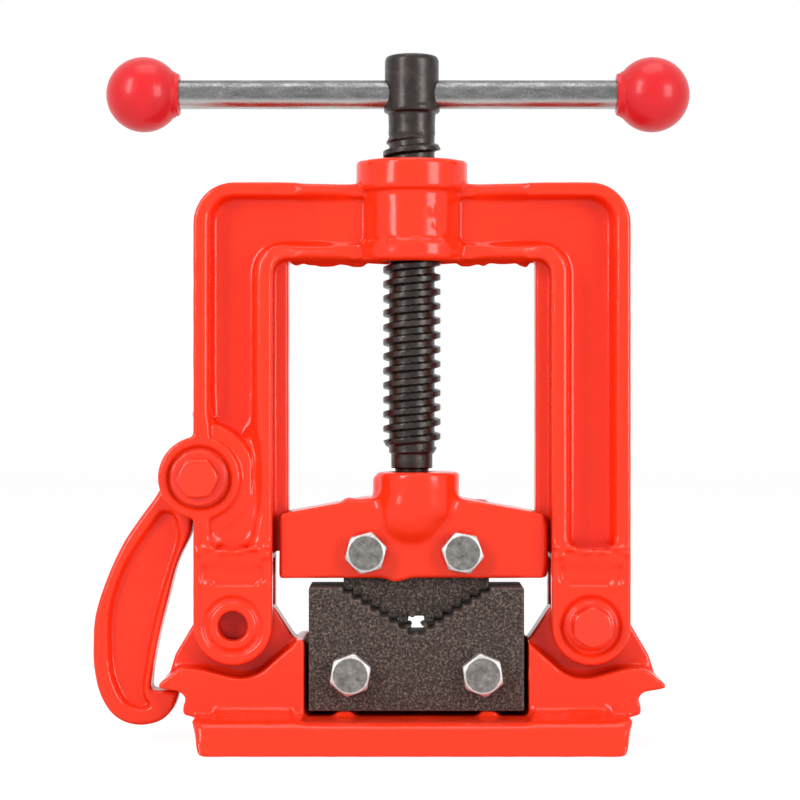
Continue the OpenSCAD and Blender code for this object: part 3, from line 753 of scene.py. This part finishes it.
# %% Flash and drips on the beam
FLASH_INSET, FLASH_ROOT = 1.7, 0.5
random.seed(3)
burrs = [lump((x, flange_reach(x, LOWER_NARROW, LOWER_WIDE) - FLASH_INSET + random.uniform(-0.4, 0.1),
               BEAM_LOW), (half, 1.5, deep + FLASH_ROOT), x, 0.12, 0.35)
         for x, half, deep in ((-35.6, 1.6, 1.3), (-29.5, 4.2, 1.7), (-20.4, 4.4, 1.4), (-40, 1.6, 0.6),
                               (19.6, 3.2, 1.2), (25.0, 1.3, 2.0), (31.5, 4.0, 0.8), (38.8, 2.2, 1.4))]
burrs += [lump((-16.4, -8.0, 171.8), (1.4, 1.2, 1.8), 1), lump((-6.4, -17.0, 172.4), (2.2, 0.9, 0.7), 2),
          lump((1.4, -18.0, 172.3), (2.6, 0.8, 0.6), 3), lump((10.2, -14.6, 172.5), (1.6, 1.0, 0.7), 4),
          lump((16.2, -8.4, 171.0), (1.3, 1.3, 1.9), 5), lump((7.0, -15.8, 182), (0.8, 0.5, 1.6), 6, 0.6),
          lump((7.9, -15.3, 177.5), (0.7, 0.5, 1.2), 7, 0.6)]
print("lumps on the beam:", len(burrs))

# %% [markdown]
# Over the panel of each foot hangs a ragged lip, where the sand broke away. Below the latch lug the floor
# of the leg's hollow is shallow, and the lug's top runs into the outer flange in a few thick drips. Short
# ridges of flash run down the back of each leg's inner side.

# %% Lips, floor and ridges on the legs
for side in BOTH:
    burrs += [lump((side * (FOOT_X + off), -14.9, LIP_Z + rise), (half, 1.5, 1.2), off + 40, 0.6)
              for off, rise, half in ((-11.6, 1.6, 1.2), (-7.4, 1.0, 2.6), (-2, 0.0, 3.0), (3.5, -0.2, 2.8),
                                      (8.6, 1.2, 2.2), (11.8, -0.4, 1.4), (-10.6, -1.6, 2.0))]
    burrs += [lump((side * 51.6, -13.8, 55.4), (1.4, 1.1, 0.8), 8, 0.5),
              lump((side * 69.4, -13.9, 55.8), (1.8, 1.2, 0.9), 9, 0.5),
              lump((side * FOOT_X, -13.4, 63.4), (12.0, 1.55, 2.4), 10, 0.1, 0.5)]
for face in BOTH:
    burrs += [lump((-60.6, face * 6.4, 77), (9.4, 5.4, 12.5), face, 0.05, 0.4),
              lump((-55.0, face * 6.2, 94), (3.2, 4.4, 15), face, 0.05, 0.7)]
    burrs += [lump((x, face * 9.6, 69.6), (2.2, 4.2, 3.0), x, 0.1) for x in (-67.0, -55.0)]
burrs += [lump((-73.6, -10.6, 113.0), (1.7, 1.6, 1.2), 1, 0.5),
          lump((-70.6, -10.5, 117.0), (1.6, 2.0, 2.4), 2, 0.5),
          lump((-66.0, -9.8, 112.2), (2.6, 1.6, 1.2), 3, 0.4)]
INNER_SIDE, RIDGE_LOW, RIDGE_HIGH, RIDGE_STEP = 47.6, 98, 164, 9
for side in BOTH:
    burrs += [lump((side * INNER_SIDE, 14.0, z + random.uniform(-3, 3)),
                   (random.uniform(0.25, 0.6), 1.0, random.uniform(1.5, 5)), z)
              for z in range(RIDGE_LOW, RIDGE_HIGH, RIDGE_STEP)]
print("lumps on the yoke:", len(burrs))

# %% [markdown]
# The walls of the hollows lean and flow into their floor, more than one smoothing of the whole yoke
# could give without rounding the feet away. So each zone below has its own amount, from 0 to 1, and a
# range in mm across and up, each with the blend at its ends. The latch lug's ring stays crisp.

# %% The yoke's soft zones
LOWER_FLANGE = (1.0, (20.5, 43, 3.5), (167.2, 181, 2))
HOLLOW_WALLS = (0.6, (48.6, 72, 1.5), (68.2, 186, 2))
BEAM_WALLS = (0.4, (20, 71, 2), (168, 188, 2))
BESIDE_BOSS = (0.8, (20.4, 40, 2.5), (160, 200, 1))
PANEL_TOPS = (0.9, (51.5, 70.5, 2), (56.5, 65.4, 2.5))
LATCH_FLOOR = (0.95, (-70, -50.6, 1.5), (71, 122, 3))
LUG_RING_R = 18.6


def softness(zone, across, z):
    """The amount of one zone at a place."""
    amount, across_range, up_range = zone
    return amount * between(across, *across_range) * between(z, *up_range)


def yoke_melt(x, y, z):
    """How soft the yoke is at a place."""
    soft = max(softness(zone, abs(x), z)
               for zone in (LOWER_FLANGE, HOLLOW_WALLS, BEAM_WALLS, BESIDE_BOSS, PANEL_TOPS))
    soft = max(soft, softness(LATCH_FLOOR, x, z))
    from_lug = math.hypot(x - LATCH_X, z - LATCH_Z)
    return soft * between(from_lug, LUG_RING_R, 400, 1.5)


# %% [markdown]
# With its cuts, lumps and soft zones ready, the yoke is cast. The voxels are fine, so that the rings and
# the panels of the feet stay clear.

# %% Yoke
yoke = casting(YOKE, "yoke_casting", [*burrs, boss], voxel=0.58, soften=13, melt=yoke_melt,
               cutters=yoke_cuts)
fit(yoke, "yoke_body", "yoke_enamel", enamels["yoke"], *YOKE)

# %% [markdown]
# ## Base
#
# The base is a heavy casting that is bolted to the bench. Its plinth has worn, round upper edges, sand
# left a fillet along the foot of the body, and a thin crease shows where the mould's halves met.

# %% The base's lumps, fillets and creases
FILLET = [(14, 9), (14, 15.6), (16.9, 15.6), (17.7, 13.6), (19.4, 12.4), (23, 11.5), (30, 11), (33, 9)]
pads = [lump((56.5, -17.3, 13.2), (1.3, 0.6, 0.8), 1, 0.5), lump((58.4, -17.1, 16), (0.7, 0.5, 1.1), 2),
        lump((64.8, -17.4, 14.2), (0.6, 0.5, 2.0), 3), lump((-62.5, -17.5, 13), (3.2, 0.6, 0.5), 4, 0.5),
        lump((-56, -17.3, 13.6), (1.0, 0.5, 0.6), 7), lump((39.6, -17.2, 24), (0.5, 0.5, 2.6), 5),
        lump((44, -17.1, 16), (0.8, 0.35, 1.2), 6)]
for face in BOTH:
    for start, end in ((-66.5, -41.0), (41.0, 66.5)):
        pads.append(skin("fillet", [[(x * MM, face * y * MM, z * MM) for y, z in FILLET]
                                    for x in (start, end)]))
creases = [lump((x, face * 19.4, 13.6), (half, 1.4, 0.45), 0, 0.0, 0.5)
           for x, half in ((-51.5, 9.5), (54, 10.5)) for face in BOTH]
print("lumps on the base:", len(pads))

# %% [markdown]
# The plinth's top is open to the sky, so no painted shade goes there: both attributes of the enamel are set
# along it.

# %% Base
OPEN_TOP = 14.0
NO_PAINTED_SHADE_TOP, NO_PAINTED_SHADE_FROM = 17.0, 17.2


def plinth_melt(x, y, z):
    """The plinth's upper edges and the foot of the body are worn soft."""
    edge = between(abs(y), 30.5, 90, 2) * between(z, 4, 90, 3)
    foot = 0.6 * between(abs(y), 21, 33, 1.5) * between(z, 9, 17, 2) * between(abs(x), 42.5, 70, 2)
    return max(edge, foot)


base = casting(["base"], "base_casting", pads, voxel=0.65, soften=16, melt=plinth_melt, cutters=creases)
mark(base, "sunlit", lambda x, y, z: 0.8 if z < OPEN_TOP and abs(y) > NO_PAINTED_SHADE_FROM else 0.0)
# painted shade is kept off the plinth's top: the relief there is set to that of flat skin
relief_values = base.data.attributes["relief"].data
for index, (x, y, z) in enumerate((points_of(base.data) / MM).tolist()):
    if z < NO_PAINTED_SHADE_TOP and abs(y) > NO_PAINTED_SHADE_FROM:
        relief_values[index].value = 0.5
fit(base, "base_body", "base_enamel", enamels["base"], "base")

# %% [markdown]
# ## Latch
#
# The latch is a small smooth casting with a shallow web inside a rim. The frame's solid has both, so it
# only needs more smoothing than the rest.

# %% Latch
latch = casting(["latch"], "latch_casting", voxel=0.55, soften=34)
fit(latch, "latch_body", "latch_enamel", enamels["latch"], "latch")

# %% [markdown]
# ## Crosshead
#
# The crosshead slides between the legs. Its socket leans out over a round keel and stands a little higher
# than the frame's, so a fuller socket is lofted over it, and the keel is melted into the face below.

# %% Crosshead
SOCKET_TOP, SOCKET_BORE_R, SOCKET_FOOT = 93.3, 7.3, 78
SOCKET_ASIDE, SOCKET_FORWARD = 2.1 * MM, 2.8 * MM
scars = [lump((-5.2, -8.6, 57.1), (4.4, 1.6, 1.3), 1), lump((-21, -6, 83.3), (2.9, 3.4, 1.2), 2),
         lump((-28, -7, 81.4), (2.0, 2.2, 0.8), 3), lump((23, 4, 82.8), (3.4, 3.0, 0.9), 4),
         lump((45.4, 0, 67.5), (1.5, 9.6, 10.6), 5, 0.05, 0.4),
         lump((-33, -8, 79.8), (1.2, 1.0, 0.8), 6, 0.5), lump((-24.5, -8.6, 81.2), (1.0, 1.0, 0.7), 7, 0.5),
         lump((-12.6, -8.4, 84.2), (1.2, 1.2, 0.8), 8, 0.5)]


def keel_melt(x, y, z):
    """The keel under the socket flows into the face."""
    return between(x, -21, 22, 4) * between(z, 56, 88, 3) * float(y < -6.5)


socket_out = [[(x + SOCKET_ASIDE, y - SOCKET_FORWARD, z) for x, y, z in ring(r, height)]
              for r, height in ((14.0, SOCKET_FOOT), (14.3, SOCKET_TOP - 0.9), (13.5, SOCKET_TOP))]
socket_in = [ring(SOCKET_BORE_R, SOCKET_TOP), ring(SOCKET_BORE_R, SOCKET_FOOT)]
scars.append(skin("socket", socket_out + socket_in, closed=True))
crosshead = casting(["crosshead"], "crosshead_casting", scars, voxel=0.6, soften=12, melt=keel_melt)
fit(crosshead, "crosshead_body", "crosshead_enamel", enamels["crosshead"], "crosshead")

# %% [markdown]
# ## Jaws
#
# The jaws are steel blocks with stepped teeth. They are sawn and hardened, not cast, so they get fine
# voxels and hardly any smoothing. A few teeth by the foot of the V have been bent inwards over the years.

# %% Jaws
TOOTH = (1.2, 4.5, 0.9)
BENT = {"lower_jaw": ((-1.3, -9, 40.4), (-1.0, 6, 40.0), (4.5, -9, 41.2), (4.3, 7, 40.2), (1.6, -11, 38.3)),
        "upper_jaw": ((0.2, -6, 44.6), (4.2, 5, 44.2))}
for node, body, grow_mm in (("lower_jaw", "base_body", 0.0), ("upper_jaw", "crosshead_body", 0.3)):
    teeth = [lump((x, y, z), TOOTH, x, 0.5) for x, y, z in BENT[node]]
    jaw = casting([node], node + "_block", teeth, voxel=0.45, soften=3, wave_mm=0.05, grain_mm=2.0,
                  grow_mm=grow_mm)
    fit(jaw, body, "jaw_steel", jaw_steel, node)

# %% [markdown]
# ## Screw
#
# The clamping screw is a right-hand trapezoid thread of 20 mm by 5 mm pitch. A screw modifier could wind
# it, but then its ends stop dead. Here it is the same stack of rings as a turned part, with finer rows:
# each point's radius grows by a ridge that climbs one pitch for each turn, and fades out at both ends.

# %% Thread
def ridge(phase, crest=0.34, flank=0.15):
    """Height of a thread, 0 to 1, at a phase of 0 to 1 within one pitch."""
    off = abs((phase + 0.5) % 1.0 - 0.5)
    edge = min(1.0, max(0.0, (crest / 2 + flank - off) / flank))
    return edge * edge * (3 - 2 * edge)


def thread_rows(core, crest, pitch, low, high, phase_mm=0.0, run_out=0.8, rows_to_pitch=20, sides=96):
    """Rings of a thread that fades in and out over run_out pitches at its ends."""
    rings = []
    count = max(2, round((high - low) / pitch * rows_to_pitch))
    for i in range(count + 1):
        z = low + (high - low) * i / count
        fade = min(1.0, (z - low) / (run_out * pitch), (high - z) / (run_out * pitch))

        def radius(angle, z=z, fade=fade):
            climb = (z - phase_mm) / pitch - angle / (2 * math.pi)
            return core + (crest - core) * ridge(climb) * max(0.0, fade)
        rings.append(ring(radius, z, sides))
    return rings


# %% [markdown]
# Under the thread are the collar, the neck and the tip that the two retaining pins hold. Above it the
# core runs out into a plain neck and a round head. One stack of rings makes all of it.

# %% Screw
CORE_R, CREST_R, PITCH = 7.9, 9.95, 5.0
THREAD_LOW, THREAD_HIGH = 99.9, 209.0
HEAD_R, HEAD_TOP, BAR_Z = 9.35, 237.3, 223.7
TIP_Z, PIN_Z, COLLAR_Z = 77.4, 84.0, 94.4

below = round_off([(0.05, TIP_Z), (5.2, TIP_Z), (6.2, TIP_Z + 1.1), (6.2, PIN_Z - 1.9),
                   (4.3, PIN_Z - 1.8), (4.3, PIN_Z + 1.8), (5.8, PIN_Z + 3), (5.8, COLLAR_Z),
                   (7.15, COLLAR_Z + 0.1), (7.15, COLLAR_Z + 4.7), (CORE_R - 0.6, THREAD_LOW - 0.4),
                   (CORE_R, THREAD_LOW)], 0.35, 3)
above = round_off([(CORE_R, THREAD_HIGH), (8.15, THREAD_HIGH + 1.2), (8.0, 213.0), (8.15, 216.3),
                   (8.3, 217.0), (9.6, 217.6), (9.72, 218.9), (HEAD_R + 0.1, 219.8),
                   (HEAD_R, 221.0), (HEAD_R, HEAD_TOP - 2.0), (HEAD_R - 0.5, HEAD_TOP - 0.7),
                   (HEAD_R - 1.9, HEAD_TOP - 0.15), (0.05, HEAD_TOP)], 0.5, 4)
rings = [ring(r, z) for r, z in below[:-1]]
rings += thread_rows(CORE_R, CREST_R, PITCH, THREAD_LOW, THREAD_HIGH, phase_mm=0.5)
rings += [ring(r, z) for r, z in above[1:]]
screw = skin("clamping_screw", rings)
print("screw turned, mm high:", round(HEAD_TOP - TIP_Z, 1))

# %% [markdown]
# The bar's hole crosses the head. It is drilled with a cutter that widens at both ends, which leaves the
# countersink of the real one.

# %% Hole for the bar
HOLE_R, MOUTH_R = 5.12, 6.2
hole = lathe("bar_hole", [(MOUTH_R, -12), (HOLE_R, -9.0), (HOLE_R, 9.0), (MOUTH_R, 12)], 64)
place_along(hole, (1, 0, 0), (0, 0, BAR_Z))
modify(screw, "BOOLEAN", object=hole, operation="DIFFERENCE", solver="EXACT")
settle(screw)
bpy.data.objects.remove(hole)
shade(screw, 38)
fit(screw, "screw_body", "screw_oxide", oxide, "screw")
print("screw faces:", len(screw.data.polygons))

# %% [markdown]
# ## Handle bar and knobs
#
# The bar is drawn steel, so it is straight but not perfect: it has many long shallow dents. A cylinder
# would look too clean, so each ring of it follows a rule that knows where the dents are.

# %% Bar
BAR_OFFSET, BAR_SPAN, BAR_R, BAR_BEVEL = 4.8, 176.0, 4.98, 0.6
DENT_DEEP, DEEPEST, DENT_EDGE = 0.028, 0.09, 0.6
random.seed(7)
dents = [(random.uniform(-80, 80), random.uniform(0, 2 * math.pi), random.uniform(3, 10))
         for _ in range(40)]


def bar_radius(along):
    """The bar's radius at a place along it, as a function of the angle."""
    def radius(angle):
        depth = 0.0
        for where, way, length in dents:
            turn = math.cos(angle - way)
            if turn > DENT_EDGE and abs(along - where) < length:
                across = (turn - DENT_EDGE) / (1 - DENT_EDGE)
                depth += DENT_DEEP * across * (1 - (along - where) ** 2 / length ** 2)
        return BAR_R - min(depth, DEEPEST)
    return radius


bevel_at = BAR_SPAN / 2 - BAR_BEVEL
bar_rings = [ring(BAR_R - BAR_BEVEL, -BAR_SPAN / 2, 72)]
bar_rings += [ring(bar_radius(x), x, 72) for x in np.linspace(-bevel_at, bevel_at, 180)]
bar_rings += [ring(BAR_R - BAR_BEVEL, BAR_SPAN / 2, 72)]
bar = place_along(skin("sliding_bar", bar_rings), (1, 0, 0), (-BAR_OFFSET, 0, BAR_Z))
# a painted reflection: the underside of the bar is marked lighter
mark(bar, "rub_and_sheen", lambda x, y, z: min(1.0, max(0.0, (BAR_Z - 1.6 - z) / 1.2)))
shade(bar, 50)
fit(bar, "handle_body", "bar_plate", bar_plate, "handle_bar")

# %% [markdown]
# The knobs are ball ends, with a collar where the bar goes in. A mould in two halves leaves a fine seam
# around each ball, so the ball's profile has a low bead with a faint dip on both sides of it.

# %% Knobs
def knob(name, node, side, seam_at):
    """A ball knob: its axis runs outwards from the bar, with the ball's centre at 0."""
    ball_r, neck_r, bore_r = 12.95, 7.35, 5.03
    profile = [(0.05, 0.3), (bore_r, 0.3), (bore_r, -12.0), (bore_r + 0.35, -12.4), (neck_r - 0.5, -12.4),
               (neck_r, -12.0), (neck_r + 0.05, -11.3), (neck_r + 0.5, -10.85)]
    start = math.asin((neck_r + 0.9) / ball_r)
    for k in range(72):
        angle = start + (math.pi - start) * k / 72
        z = -math.cos(angle) * ball_r
        bead = 0.07 * math.exp(-((z - seam_at) / 0.16) ** 2)
        dip = 0.05 * math.exp(-((z - seam_at) / 0.5) ** 2)
        profile.append(((ball_r + bead - dip) * math.sin(angle), z))
    profile.append((0.05, ball_r))
    piece = lathe(name, profile)
    place_along(piece, (side, 0, 0), (-BAR_OFFSET + side * BAR_SPAN / 2, 0, BAR_Z))
    shade(piece, 40)
    fit(piece, "handle_body", "knob_plastic", knob_plastic, node)


knob("left_knob", "handle_knob_left", -1, 0.9)
knob("right_knob", "handle_knob_right", 1, 1.3)

# %% [markdown]
# ## Bolts, nuts and washers
#
# A hexagon head is a ring whose radius follows the flats, trimmed by a 30 degree cone: that cone draws
# the round line on the face and the arcs on the flats. The corners between flats are a hair rounded.

# %% Hexagon
SIDES = 120
CONE_SLOPE = math.tan(math.radians(30))
FACE_SHARE = 0.955  # the cone leaves a round face this wide, as a share of the width over flats


def hex_radius(flats, corner=0.16):
    """Radius of a hexagon with a corner on local Y, as a function of the angle."""
    reach = flats / 2 / math.cos(math.radians(30)) - corner

    def radius(angle):
        off = (angle + math.pi / 6) % (math.pi / 3) - math.pi / 6
        return min(reach, flats / 2 / math.cos(off))
    return radius


def hexagon_rings(flats, height, under=False, edge=0.12, dish=0.0):
    """Rings from the seat (height 0) to the face, trimmed by a cone, and below too for a nut."""
    outer = hex_radius(flats)
    face_r = flats / 2 * FACE_SHARE

    def drop(angle):
        return max(0.0, outer(angle) - face_r) * CONE_SLOPE

    low = drop if under else (lambda a: 0.0)
    if under:
        rings = [ring(face_r - 0.25, 0.0, SIDES), ring(face_r, 0.02, SIDES)]
    else:
        rings = [ring(lambda a: outer(a) - edge, 0.0, SIDES)]
    rings += [ring(lambda a: outer(a) - edge * 0.3, lambda a: low(a) + edge * 0.3, SIDES),
              ring(outer, lambda a: low(a) + edge, SIDES),
              ring(outer, lambda a: height - drop(a) - edge, SIDES),
              ring(lambda a: outer(a) - edge * 0.4, lambda a: height - drop(a) - edge * 0.25, SIDES),
              ring(face_r, height - 0.02, SIDES), ring(face_r - 0.25, height, SIDES),
              ring(face_r - 0.45, height - dish * 0.3, SIDES),
              ring(face_r - 0.9, height - dish * 0.6, SIDES), ring(face_r * 0.5, height - dish, SIDES)]
    return rings


# %% [markdown]
# A bolt is one stack of rings again: tip, thread, shank and head. Its flats, shank and the rim of its face
# are marked bright, partly as wear and partly as a painted highlight.
# Some of the vise's bolts are painted over. Several coats of paint round every edge, and a remesh with a
# little smoothing does the same.

# %% Bolts
DISH, SHARP_EDGE, PAINTED_EDGE = 0.12, 0.12, 0.35


def thick_paint(piece):
    """Rounds every edge, as several coats of paint do."""
    modify(piece, "REMESH", mode="VOXEL", voxel_size=0.3 * MM, use_smooth_shade=True)
    modify(piece, "SMOOTH", factor=0.5, iterations=14)
    # the relief, measured over a short reach, gives the painted bolts strong painted shade in hollows and
    # paler edges, partly a painted highlight
    return shade(mark_relief(settle(piece), 14, 0.3))


def bolt(name, seat, turn=0.0, painted=False, *, flats, head_h, shank_r, pitch, reach, thread_l):
    """A hexagon bolt along +Y: its head sits at seat (x, y, z) and its shank reaches behind it."""
    crest_r = shank_r - 0.04
    tip = [ring(0.05, -reach, SIDES), ring(shank_r - 0.9, -reach, SIDES)]
    thread = thread_rows(shank_r - 0.55, crest_r, pitch, -reach + 0.5, -reach + thread_l, sides=SIDES,
                         rows_to_pitch=8, run_out=0.6)
    shank = [ring(crest_r, -reach + thread_l + 0.5, SIDES), ring(crest_r, 0.0, SIDES)]
    head = hexagon_rings(flats, head_h, edge=PAINTED_EDGE if painted else SHARP_EDGE, dish=DISH)
    piece = skin(name, tip + thread + shank + head + [ring(0.05, head_h - DISH, SIDES)])
    # the flats, the shank and the rim of the face: partly wear, partly a painted highlight
    mark(piece, "rub_and_sheen", lambda x, y, z: math.hypot(x, y) > flats / 2 * 0.9 or z < head_h - 1.5)
    place_along(piece, (0, -1, 0), seat, -turn)
    return thick_paint(piece) if painted else shade(piece, 35)


# %% [markdown]
# A nut is a closed stack: up the outside, over the face and down through the bore. A washer is a turned
# ring with round edges.

# %% Nuts and washers
BORE_MOUTH, BORE_MOUTH_DEEP = 0.7, 0.6


def nut(name, seat, turn=0.0, *, flats, height, bore_r):
    """A hexagon nut whose seat faces -Y at seat (x, y, z)."""
    rings = hexagon_rings(flats, height, under=True)[:-2]
    rings += [ring(bore_r + BORE_MOUTH, height, SIDES), ring(bore_r + 0.04, height - BORE_MOUTH_DEEP, SIDES),
              ring(bore_r + 0.04, BORE_MOUTH_DEEP, SIDES), ring(bore_r + BORE_MOUTH, 0.0, SIDES)]
    piece = skin(name, rings, closed=True)
    # the flats and the rim of the face: partly wear, partly a painted highlight
    mark(piece, "rub_and_sheen", lambda x, y, z: math.hypot(x, y) > flats / 2 * 0.9)
    place_along(piece, (0, 1, 0), seat, turn)
    return shade(piece, 35)


def washer(name, seat, edge=0.25, painted=False, *, outer_r, hole_r, thickness):
    """A flat washer whose seat faces -Y at seat (x, y, z)."""
    profile = round_off([(hole_r, thickness / 2), (hole_r, 0), (outer_r, 0), (outer_r, thickness),
                         (hole_r, thickness), (hole_r, thickness / 2)], edge)[:-1]
    piece = lathe(name, profile, closed=True)
    mark(piece, "rub_and_sheen", lambda x, y, z: 0.6)
    place_along(piece, (0, 1, 0), seat)
    return thick_paint(piece) if painted else shade(piece, 40)


# %% [markdown]
# The four jaw bolts are plain 8 mm ones. A spanner left each head at a different turn.

# %% Jaw bolts
M8 = {"flats": 12.9, "shank_r": 3.98, "pitch": 1.25}
LOWER_BOLT = {**M8, "head_h": 5.45, "reach": 33.0, "thread_l": 16.0}
UPPER_BOLT = {**M8, "head_h": 5.45, "reach": 16.0, "thread_l": 9.0}

for name, sizes, seat, turn, body in (
        ("lower_jaw_bolt_left", LOWER_BOLT, (-20.9, -16.0, 25.0), 10, "base_body"),
        ("lower_jaw_bolt_right", LOWER_BOLT, (23.9, -16.0, 25.0), -8, "base_body"),
        ("upper_jaw_bolt_left", UPPER_BOLT, (-15.75, -10.0, 65.9), 15, "crosshead_body"),
        ("upper_jaw_bolt_right", UPPER_BOLT, (17.25, -10.0, 65.9), -20, "crosshead_body")):
    fit(bolt("zinc_" + name, seat, turn, **sizes), body, "bolt_zinc", zinc, name)

# %% [markdown]
# The hinge bolt, the latch bolt and its washer were sprayed over with the castings, so they carry the
# same enamel, soft at every edge. The groove cut in the lug runs round the edge of the latch washer.

# %% Painted hinge and latch bolts
WASHER_H, THIN_AIR = 1.58, 0.01
STACK = WASHER_H + 2 * THIN_AIR

piece = bolt("red_hinge_bolt", (HINGE_X, -YOKE_HALF, HINGE_Z), painted=True, flats=12.9, head_h=6.3,
             shank_r=4.98, pitch=1.5, reach=41.6, thread_l=16.0)
fit(piece, "yoke_body", "bolt_enamel", enamels["bolt"], "hinge_bolt")
piece = bolt("red_latch_bolt", (LATCH_X, -YOKE_HALF - STACK, LATCH_Z), 27, painted=True, head_h=5.2,
             reach=40.1, thread_l=14.0, **M8)
fit(piece, "yoke_body", "bolt_enamel", enamels["bolt"], "latch_bolt")
piece = washer("red_latch_washer", (LATCH_X, -YOKE_HALF - STACK + THIN_AIR, LATCH_Z), 0.5, painted=True,
               outer_r=9.45, hole_r=4.05, thickness=WASHER_H)
fit(piece, "yoke_body", "bolt_enamel", enamels["bolt"], "latch_washer")

# %% [markdown]
# At the back their nuts stayed bright, and so did the washer under the hinge nut.

# %% Bright nuts and washer at the back
piece = washer("zinc_hinge_washer", (HINGE_X, YOKE_HALF, HINGE_Z), outer_r=9.5, hole_r=5.05,
               thickness=WASHER_H)
fit(piece, "yoke_body", "bolt_zinc", zinc, "hinge_washer")
piece = nut("zinc_hinge_nut", (HINGE_X, YOKE_HALF + STACK, HINGE_Z), 10, flats=15.9, height=7.95,
            bore_r=5.0)
fit(piece, "yoke_body", "bolt_zinc", zinc, "hinge_nut")
piece = nut("zinc_latch_nut", (LATCH_X, YOKE_HALF, LATCH_Z), flats=12.9, height=6.45, bore_r=4.0)
fit(piece, "yoke_body", "bolt_zinc", zinc, "latch_nut")

# %% [markdown]
# ## Retaining pins
#
# Two ground steel pins are driven into the crosshead from the back, one on each side of the screw's
# neck, and hold it while it turns. They are turned parts with rounded ends.

# %% Retaining pins
PIN_R, PIN_LONG, PIN_ASIDE, PIN_BACK = 1.49, 17.6, 5.9, 12.4
for side, node in ((-1, "retaining_pin_left"), (1, "retaining_pin_right")):
    outline = round_off([(0.05, -PIN_LONG), (PIN_R, -PIN_LONG), (PIN_R, 0), (0.05, 0)], 0.4)
    pin = place_along(lathe("ground_" + node, outline, 48), (0, 1, 0), (side * PIN_ASIDE, PIN_BACK, PIN_Z))
    fit(shade(pin, 40), "crosshead_body", "pin_steel", ground_steel, node)
